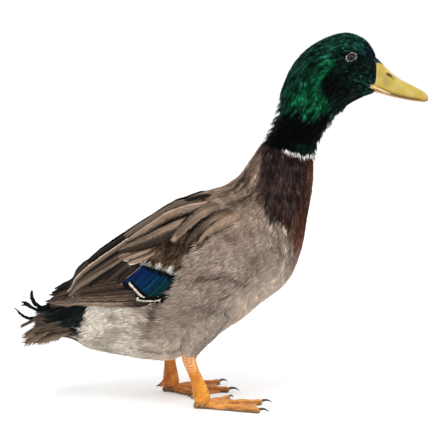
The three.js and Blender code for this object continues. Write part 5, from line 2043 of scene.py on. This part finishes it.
def makeTail():
    chance = np.random.default_rng(91)
    look = tailLook
    vanes = []
    count = look["feathers"]
    gapFrom, gapTo = look["notch"]

    def lay(base, middle, tip, vane):
        vanes.append(makeVane(tailPoint, base, middle, tip, vane, chance, flip=-1.0, steps=(0.01, 0.01)))

    for layer in range(count - 1, -1, -1):
        for sign in ((1, -1) if layer else (1,)):
            share = layer / (count - 1)
            side = sign * 0.97 * share
            reach = 1.0 - 0.05 * (layer % 2)
            if gapFrom < share < gapTo:
                reach = 0.60
            elif sign > 0 and share >= gapTo:
                reach = 0.70
            low = smooth(share, 0.3, 0.6)
            tint = mix(look["dark"], look["brown"], low) * chance.uniform(0.35, 1.4)
            # a lighter and a darker copy of the tint: painted light on each vane's upper half, painted shade
            # on its lower
            upper, lower = np.multiply(tint, 1.5), np.multiply(tint, 0.35)
            lay((-0.05, side * 0.6), (0.5, side * 0.88), (reach, side), {
                "half": look["half"] * (0.8 + 0.25 * low),
                "low": -1.6 - 1.2 * share,
                "high": -0.2 - 1.3 * share - 0.7 * (layer % 2),
                "colour": vaneColour(tint, upper, lower, look["pale"], edgeWidth=0.06),
                **tailTop,
            })
    for layer in range(count + 1):  # the underside
        side = -0.9 + 1.8 * layer / count
        reach = 0.88 if side < -gapTo else 0.64
        lay((-0.1, side * 0.8), (0.45, side * 0.92), (reach, side), {
            "half": look["half"] + 1,
            "low": -30 * (1 - 0.35 * abs(side)),
            "high": -3.4,
            "colour": vaneColour(look["brown"], topEdge=look["pale"], edgeWidth=0.06),
            **tailUnder,
        })
    return joinVanes("tail_feathers", vanes, [], vanePlumage, False, ["tail"])


makeTail()

curlPaths = {
    "tail_curl_upright": [
        (-168, 3, 99), (-178, 3, 93.8), (-185.1, 2, 96.9), (-188.3, 1, 102), (-189.3, 0, 107),
        (-189.1, 0, 111.1),
    ],
    "tail_curl_forked": [
        (-168, -3.4, 98), (-179, -4.5, 92.3), (-186.1, -5, 93.8), (-193.2, -5, 97.9), (-197.2, -5, 98.9)
    ],
    "tail_curl_long": [
        (-170, 0, 94), (-176, 0, 88.8), (-183.1, 0, 84.7), (-191.2, -0.5, 83.2), (-199.2, -1, 86.7),
        (-206.3, -1.5, 93.8),
    ],
}
# "barbs" is the number on each side of the quill
curlLook = {"half": 2.7, "tip": 0.7, "roll": 72, "barbs": 60, "colour": (0.005, 0.010, 0.012)}


def makeCurls():
    steps = 40
    for number, (name, path) in enumerate(curlPaths.items()):
        chance = np.random.default_rng(95 + number)
        path = np.array(path, float)
        place = np.linspace(0, len(path) - 1, steps)
        line = np.stack(list(tableAt(path, place, 3)), -1)
        heading, flat, upright = pathFrame(line)
        roll = math.radians(curlLook["roll"])
        across = unit(flat * math.cos(roll) + upright * math.sin(roll))
        normal = np.cross(heading, across)
        share = np.linspace(0, 1, steps)
        half = curlLook["half"] + (curlLook["tip"] - curlLook["half"]) * share**1.6
        half[-6:] *= np.linspace(1, 0.2, 6)
        if name == "tail_curl_forked":  # broad to its end, where it parts in two
            half = 2.5 - 1.0 * smooth(share, 0.1, 0.45) + 0.9 * between(share, 0.6, 0.92, 0.1)
        rings = [ellipse(line[i], across[i], half[i] * 0.78, normal[i], 0.5, 12) for i in range(steps)]
        parts = [closedTube(rings)]
        for k in range(curlLook["barbs"] * 2):  # loose barbs on both sides, close along the feather
            i = int(chance.uniform(0.04, 0.98) * (steps - 1))
            sign = 1 if k % 2 else -1
            reach = half[i] * chance.uniform(0.30, 0.75)
            lean = chance.uniform(2.5, 5.0) * (0.4 + 0.6 * half[i] / 2.6)
            start = line[i] + across[i] * sign * half[i] * 0.5
            end = start + across[i] * sign * reach + heading[i] * lean + normal[i] * chance.normal(0, 0.3)
            middle = (start + end) / 2 + heading[i] * 0.3 + across[i] * sign * 0.2
            side = unit(np.cross(end - start, normal[i]))
            places = ((start, 0.5), (middle, 0.42), (end, 0.05))
            parts.append(closedTube([ellipse(p, side, w, normal[i], 0.12, 3) for p, w in places]))
        points, quads, triangles = joined(parts)
        tint = uneven(curlLook["colour"], points, 0.3, 3, 96)
        flat = flatBox(points)
        maps = {"OFBake": 0.02 + 0.9 * flat, "vaneMap": flat * 3}
        piece = makeMesh(name + "_feather", points, quads, triangles, tint, maps, glossPlumage)
        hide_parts(name)
        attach(piece, "root")


makeCurls()
print("tail made")


# sections of the bill: x, height of the ridge, height of the mouth's line, width
billPlaces = np.array([
    [154.2, 344.6, 313.0, 21.0],
    [160.0, 338.8, 311.2, 20.6],
    [168.0, 331.4, 308.6, 19.8],
    [178.0, 323.8, 306.0, 20.2],
    [188.0, 318.7, 304.0, 21.8],
    [196.5, 314.2, 302.8, 21.6],
    [202.3, 310.2, 302.0, 17.0],
    [205.8, 306.6, 302.4, 8.0],
])
billLook = {
    "yellow": (0.475, 0.335, 0.030),
    "cream": (0.64, 0.51, 0.20),
    "orange": (0.56, 0.23, 0.015),
    "olive": (0.27, 0.22, 0.07),
    "nostril": (0.075, 0.034, 0.010),
    "nail": (0.10, 0.075, 0.03),
    "pink": (0.48, 0.28, 0.12),
    "line": (0.05, 0.028, 0.012),
    "gape": (0.74, 0.50, 0.26),
    "lamellae": (0.62, 0.42, 0.12),
    "nostrilAt": (166.8, 327.6),  # x and z of its middle
    "nostrilSize": (4.6, 1.6),
    "nostrilTilt": -32,
}


def shellTint(outer, inner):
    # colours of a closed tube's rings and of the middles of its two ends
    return np.concatenate(
        [np.concatenate([outer, inner], axis=1).reshape(-1, 3), outer[0, :1], outer[-1, :1]]
    )


def billUpper():
    look = billLook
    rings, arch = 120, 72
    place = np.linspace(0, 7, rings)[:, None] + np.zeros(arch)
    turn = np.linspace(0, np.pi, arch)[None, :] + np.zeros((rings, 1))
    x, ridge, mouth, width = tableAt(billPlaces, place, 4)
    flat = 0.62 - 0.05 * place
    # the mouth's edge curls under a little, and the face's edge reaches back at the sides
    across = np.sign(np.cos(turn)) * np.abs(np.cos(turn)) ** 0.9
    lift = np.sin(turn) ** flat
    y = width / 2 * across
    z = mouth + (ridge - mouth) * lift
    lip = np.exp(-((z - mouth) / 1.6) ** 2) * 0.35 * smooth(place, 0.5, 2)
    y = y + np.sign(across) * lip
    groove = np.exp(-(((np.abs(across) - 0.70) / 0.09) ** 2)) * between(place, 2.6, 6.1, 0.6) * 0.35
    z = z - groove
    nailDistance = np.hypot((x - 203.0) / 4.6, y / 4.2)
    nail = (1 - smooth(nailDistance, 0.85, 1.05)) * smooth(z, 303, 305)
    z = z + 0.35 * nail
    nx, nz = look["nostrilAt"]
    tilt = math.radians(look["nostrilTilt"])
    dx, dz = x - nx, z - nz
    alongSlot = (dx * math.cos(tilt) + dz * math.sin(tilt)) / look["nostrilSize"][0]
    acrossSlot = (-dx * math.sin(tilt) + dz * math.cos(tilt)) / look["nostrilSize"][1]
    slot = np.hypot(alongSlot, acrossSlot)
    outerSide = smooth(np.abs(y), 2, 4)
    pit = (1 - smooth(slot, 0.55, 1.0)) * outerSide
    rim = between(slot, 1.0, 1.45, 0.2) * outerSide
    y = y - np.sign(y) * (1.7 * pit - 0.30 * rim)
    back = 1 - smooth(place, 0.0, 0.7)
    corner = np.exp(-(((z - mouth) / 6.0) ** 2))
    x = x - back * (1.2 + 6.0 * corner)
    y = y * (1 + 0.16 * back * corner)
    z = z + back * corner * 2.2
    shell = np.stack([x, y, z], -1)
    palate = np.stack([x, y * 0.86, mouth + 1.3 + 0.0 * y], -1)[:, ::-1][:, 8:-8:4]
    rings3 = np.concatenate([shell, palate], axis=1)
    points, quads, triangles = closedTube(rings3)
    # colours, ring by ring
    colour = mix(look["yellow"], look["cream"], np.clip(0.15 + 0.4 * ripple(shell, 9, 101), 0, 0.5))
    ridgeShare = (z - mouth) / np.maximum(ridge - mouth, 1)
    # cream along the top of the ridge: a painted highlight
    colour = mix(colour, look["cream"], smooth(ridgeShare, 0.80, 0.97) * smooth(place, 0.8, 2.0) * 0.55)
    side = between(ridgeShare, 0.28, 0.70, 0.15) * (0.6 + 0.4 * ripple(shell, 6, 102))
    colour = mix(colour, look["olive"], side * between(place, 0.2, 5.6, 1.0) * 0.38)
    low = 1 - smooth(z - mouth, 1.5, 5.0)
    colour = mix(colour, look["orange"], low * smooth(place, 2.2, 5.0) * 0.8)
    colour = mix(colour, look["orange"], smooth(place, 5.8, 6.6) * 0.4)
    colour = mix(colour, look["cream"], (1 - smooth(place, 0.10, 0.45)) * 0.9)
    colour = mix(
        colour, look["olive"],
        between(place, 0.6, 3.2, 0.8) * np.exp(-(((turn / np.pi) - 0.5) / 0.10) ** 2) * 0.35,
    )
    colour = mix(colour, look["line"], rim * 0.45 * smooth(alongSlot - acrossSlot, -0.2, 0.8))
    rear = between(ridgeShare, 0.16, 0.62, 0.14) * (1 - smooth(place, 0.9, 2.6)) * smooth(place, 0.2, 0.6)
    colour = mix(colour, look["olive"], rear * limit(0.35 + 0.35 * ripple(shell, 4, 106)))
    brow = 0.23 * (1 - place / 1.75)
    colour = mix(colour, plumage["wedge"], 1 - smooth(np.abs(turn / np.pi - 0.5) - brow, -0.012, 0.012))
    colour = mix(colour, look["nostril"], pit)
    colour = mix(colour, look["nail"], between(nailDistance, 0.82, 1.1, 0.08) * 0.5 * smooth(z, 303, 305))
    colour = mix(colour, look["nail"], (1 - smooth(z, 302.9, 304.0)) * smooth(x, 200.5, 203))
    colour = mix(
        colour, look["line"], (1 - smooth(z - mouth, 0.4, 1.4)) * (1 - smooth(place, 4.4, 6.2)) * 0.9
    )
    # the palate takes the pink at 0.6: painted shade inside the mouth
    inner = np.broadcast_to(np.multiply(look["pink"], 0.6), palate.shape)
    piece = makeMesh(
        "bill_upper_shell", points, quads, triangles, shellTint(colour, inner), material=billFinish
    )
    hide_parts("bill_upper")
    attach(piece, "root")


def billShell(place, turn):
    # over the upper bill: place from its root to its tip, turn in degrees from its right edge over the ridge
    x, ridge, mouth, width = tableAt(billPlaces, place, 4)
    turn = np.radians(turn)
    flat = 0.62 - 0.05 * place
    rise = np.sin(np.clip(turn, 0.02, np.pi - 0.02)) ** flat
    y = width / 2 * np.sign(np.cos(turn)) * np.abs(np.cos(turn)) ** 0.9
    return np.stack([x + 0.0 * y, y, mouth + (ridge - mouth) * rise], -1)


def makeBrow():
    # the point of small feathers that runs out along the bill's ridge
    chance = np.random.default_rng(107)
    count = 130
    place = chance.uniform(-0.5, 1.15, count)
    turn = 90 + chance.uniform(-1, 1, count) * (30 - 20 * (place + 0.3))
    tuft = {
        "barbs": 3,
        "overlap": 1.5,
        "length": 4.0 * (1 + chance.normal(0, 0.1, count)),
        "half": 0.8,
        "depth": 0.3,
        "rise": 0.75 - 0.35 * smooth(place, 0.0, 0.6),
        "turn": chance.normal(0, 8, count),
        "curl": chance.normal(0, 0.3, count),
        "loose": 0.4,
    }
    made = growTufts(billShell, place, turn, tuft, 108, lie=1.0)

    def zone(u, v, points):
        return np.broadcast_to(plumage["wedge"], points.shape)

    tint = tuftColours(made, zone, 0, 0.4, 0.4, 0.6)
    maps = tuftMaps(made, 0.05 + 0.9 * turn / 180, 0.05 + 0.3 * (place + 0.5))
    return joinTufts("coat_brow", [(made, tint, maps)], glossPlumage)


def billLower():
    rings, arch = 80, 40
    place = np.linspace(-0.3, 6.0, rings)[:, None] + np.zeros(arch)
    turn = np.linspace(np.pi, 2 * np.pi, arch)[None, :] + np.zeros((rings, 1))
    x, _, mouth, width = tableAt(billPlaces, place, 4)
    share = limit(place / 6.0)
    depth = 2.6 + (1.1 - 2.6) * share**0.6
    half = width / 2 - 1.2
    keel = np.stack([x, half * np.cos(turn), mouth - 0.3 + depth * np.sin(turn)], -1)
    top = np.stack([x, half * np.cos(turn) * 0.9, mouth - 0.1 + 0.0 * turn], -1)[:, ::-1][:, 4:-4:4]
    points, quads, triangles = closedTube(np.concatenate([keel, top], axis=1))
    colour = mix(billLook["pink"], billLook["orange"], smooth(place, 2.6, 4.6))
    colour = mix(colour, billLook["nail"], smooth(place, 5.5, 5.9) * 0.8)
    inner = np.broadcast_to(billLook["pink"], top.shape)
    piece = makeMesh(
        "bill_lower_shell", points, quads, triangles, shellTint(colour, inner), material=billFinish
    )
    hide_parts("bill_lower")
    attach(piece, "root")


def mouthPath(side, start, end, inset, drop):
    place = np.linspace(start, end, 40)
    x, _, mouth, width = tableAt(billPlaces, place, 4)
    return np.stack([x, side * (width / 2 - inset), mouth - drop], -1)


def gapePart(side):
    # the soft corner of the mouth, running back into the face
    place = np.linspace(0, 1, 24)
    x = 146.0 + 22.0 * place
    z = 317.6 - 8.4 * place + 1.2 * (1 - place) ** 2
    surface = 13.2 - 3.4 * place
    line = np.stack([x, side * surface, z], -1)
    _, across, normal = pathFrame(line)
    size = 1.15 * np.sin(np.pi * limit(0.12 + 0.8 * place)) + 0.1
    rings = [ellipse(line[i], across[i], size[i], normal[i], size[i] * 0.9, 12) for i in range(len(place))]
    return closedTube(rings)


billUpper()
billLower()
points, quads, triangles = joined([gapePart(-1), gapePart(1)])
tint = uneven(billLook["gape"], points, 0.12, 2, 103)
gape = makeMesh("bill_gape", points, quads, triangles, tint, material=billFinish)
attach(gape, "root")
mouthPaths = [mouthPath(side, 1.0, 5.6, 0.95, -0.05) for side in (-1, 1)]
lamellae = spaced(
    "bill_lamellae", mouthPaths, 46, (0.22, 0.5, 0.75), 0.08, 5, billFinish, billLook["lamellae"]
)
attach(lamellae, "root")
makeBrow()
print("bill made")


eyeLook = {
    "radius": 5.4, "lidRadius": 3.9, "lidThick": 1.0, "beads": 27,
    "lid": (0.006, 0.006, 0.006), "bead": (0.34, 0.31, 0.27),
}


def eyeBall(side):
    middle = eyeMiddle(side)
    rows, sides = 36, 48
    tilt = np.linspace(0.02, np.pi - 0.02, rows)
    turn = np.linspace(0, 2 * np.pi, sides, endpoint=False)
    ring = np.stack([
        np.sin(tilt)[:, None] * np.cos(turn)[None, :],
        np.cos(tilt)[:, None] + 0 * turn[None, :],
        np.sin(tilt)[:, None] * np.sin(turn)[None, :],
    ], -1)
    # the clear front stands out a little
    bulge = 1 + 0.06 * np.exp(-((1 - np.abs(ring[..., 1:2])) / 0.12) ** 2)
    return closedTube(middle + ring * eyeLook["radius"] * bulge)


def lidCurve(side, radius, height, count=60):
    # a ring round the eye on the face's own slope
    angle = float(eyePlace["angle"]) * side
    point, normal, alongU, _ = surfaceFrame(bodyPoint, np.array(float(eyePlace["along"])), np.array(angle))
    first = unit(alongU - normal * np.dot(alongU, normal))
    second = np.cross(normal, first)
    turn = np.linspace(0, 2 * np.pi, count)
    shape = 1 + 0.14 * np.cos(2 * (turn + 0.5 * side))
    ring = point + normal * height
    ring = ring + radius * (np.cos(turn) * shape)[:, None] * first
    return ring + radius * (np.sin(turn) * shape * 0.90)[:, None] * second, normal


for side, name in ((-1, "right"), (1, "left")):
    points, quads, triangles = eyeBall(side)
    finish = eyeMaterial("eye_" + name + "_finish", toMetres(eyeMiddle(side) + np.array([0.3, 0, -0.9])))
    ball = makeMesh("eye_ball_" + name, points, quads, triangles, material=finish)
    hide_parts("eye_" + name)
    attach(ball, "root")

lidSteps, lidSides = 48, 10
lidParts, beadPaths = [], []
for side in (-1, 1):
    line, normal = lidCurve(side, eyeLook["lidRadius"], 0.25, lidSteps + 1)
    heading = unit(np.gradient(line[:-1], axis=0))
    outward = unit(np.cross(heading, normal))
    thick = eyeLook["lidThick"]
    rings = [ellipse(line[i], outward[i], thick, normal, thick * 0.8, lidSides) for i in range(lidSteps)]
    ringPoints = np.array(rings).reshape(-1, 3)
    ringQuads = gridFaces(lidSteps + 1, lidSides, wrap=True) % (lidSteps * lidSides)
    a, b, c = ringPoints[ringQuads[0, 0]], ringPoints[ringQuads[0, 1]], ringPoints[ringQuads[0, 2]]
    if np.dot(np.cross(b - a, c - a), a - line[0]) < 0:
        ringQuads = ringQuads[:, ::-1]
    lidParts.append((ringPoints, ringQuads, np.zeros((0, 3), int)))
    beadPaths.append(lidCurve(side, eyeLook["lidRadius"] + 0.95, 0.55)[0])
points, quads, triangles = joined(lidParts)
tint = uneven(eyeLook["lid"], points, 0.4, 1.5, 105)
lids = makeMesh("eyelids", points, quads, triangles, tint, material=lidFinish)
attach(lids, "root")
beads = spaced(
    "eyelid_edges", beadPaths, eyeLook["beads"], (0.50, 0.30, 0.34), 0.85, 8, lidFinish, eyeLook["bead"]
)
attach(beads, "root")
print("eyes made")


clawLook = {
    "rise": 34, "bend": 82, "thick": 1.7, "hindThick": 1.3, "grow": 1.25,
    "dark": (0.028, 0.028, 0.031), "root": (0.10, 0.085, 0.07),
}


clawRings, clawSides = 22, 14


def clawTube(start, heading, length, thick):
    upward = np.array([0.0, 0.0, 1.0])
    across = unit(np.array([-heading[1], heading[0], 0.0]))
    bend = math.radians(clawLook["bend"])
    firstTurn = math.radians(clawLook["rise"])
    bow = length / bend
    rings = []
    for t in np.linspace(0, 1, clawRings):
        turn = firstTurn - bend * t
        forward = bow * (math.sin(firstTurn) - math.sin(turn))
        middle = start + heading * forward + upward * bow * (math.cos(turn) - math.cos(firstTurn))
        radius = max(0.16, thick * (1 - t) ** 0.7)
        up = -heading * math.sin(turn) + upward * math.cos(turn)
        rings.append(ellipse(middle, across, radius * 0.8, up, radius, clawSides))
    return closedTube(rings)


for side in ("right", "left"):
    parts, names = [], []
    for name, size in toeSizes.items():
        turn = math.radians(toeAngles[side][name])
        heading = np.array([math.cos(turn), math.sin(turn), 0.0])
        start = footMiddle(side) + heading * (size["length"] - 1.6) + np.array([0, 0, size["tip"] * 0.95])
        parts.append(clawTube(start, heading, size["claw"] * clawLook["grow"], clawLook["thick"]))
        names.append("claw_" + side + "_" + name)
    _, end, heading = hindToeLine(side)
    level = unit(heading * np.array([1, 1, 0]))
    parts.append(clawTube(end - heading, level, hindToe["claw"], clawLook["hindThick"]))
    names.append("claw_" + side + "_hind")
    points, quads, triangles = joined(parts)
    share = np.concatenate([np.repeat(np.linspace(0, 1, clawRings), clawSides), [0, 1]])
    share = np.tile(share, len(parts))
    tint = mix(clawLook["root"], clawLook["dark"], smooth(share, 0.1, 0.5))
    claws = makeMesh("claws_" + side, points, quads, triangles, tint, material=clawFinish)
    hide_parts(*names)
    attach(claws, "root")
print("claws made")


studio = {
    "worldLight": 1.0,
    "floorSize": 30.0,
    "floorColour": (0.94, 0.94, 0.94, 1),
    "floorGlow": 0.13,  # keeps the far floor as white as the wall behind
    "keyPower": 10.0,
    "fillPower": 2.0,
    "glintPower": 0.5,
    "target": (0.0005, -0.006, 0.183),
    "distance": 1.6,
    "elevation": 6.8,
    "lens": 130.909,
}
floorMesh = bpy.data.meshes.new("floor")
reach = studio["floorSize"] / 2
corners = [(-reach, -reach, 0), (reach, -reach, 0), (reach, reach, 0), (-reach, reach, 0)]
floorMesh.from_pydata(corners, [], [(0, 1, 2, 3)])
floor = bpy.data.objects.new("floor", floorMesh)
bpy.context.scene.collection.objects.link(floor)
material, tree, shader = startMaterial("paleFloor")
fill(tree, shader, {
    "Base Color": studio["floorColour"],
    "Roughness": 0.9,
    "Specular IOR Level": 0.1,
    "Emission Color": (1, 1, 1, 1),
    "Emission Strength": studio["floorGlow"],
})
floorMesh.materials.append(material)

world = bpy.data.worlds.new("studio")
world.use_nodes = True
background = world.node_tree.nodes.get("Background") or world.node_tree.nodes.new("ShaderNodeBackground")
background.inputs["Color"].default_value = (1, 1, 1, 1)
background.inputs["Strength"].default_value = studio["worldLight"]
bpy.context.scene.world = world


def softLight(name, place, size, power):
    light = bpy.data.lights.new(name, "AREA")
    light.shape = "DISK"
    light.size = size
    light.energy = power
    holder = bpy.data.objects.new(name, light)
    bpy.context.scene.collection.objects.link(holder)
    holder.location = place
    aim = np.array(studio["target"]) - np.array(place)
    holder.rotation_euler = Vector(aim).to_track_quat("-Z", "Y").to_euler()
    return holder


softLight("keyLight", (-0.5, -0.9, 1.5), 0.9, studio["keyPower"])
softLight("fillLight", (1.1, -0.8, 0.7), 0.8, studio["fillPower"])
softLight("eyeGlint", (-0.12, -1.45, 0.85), 0.10, studio["glintPower"])

scene = bpy.context.scene
scene.view_settings.view_transform = "Standard"
cameraData = bpy.data.cameras.new("camera")
cameraData.lens = studio["lens"]
cameraData.sensor_width = 36
camera = bpy.data.objects.new("camera", cameraData)
scene.collection.objects.link(camera)
tilt = math.radians(studio["elevation"])
target = np.array(studio["target"])
camera.location = target + studio["distance"] * np.array([0, -math.cos(tilt), math.sin(tilt)])
camera.rotation_euler = (math.radians(90) - tilt, 0, 0)
scene.camera = camera
print("stage made")
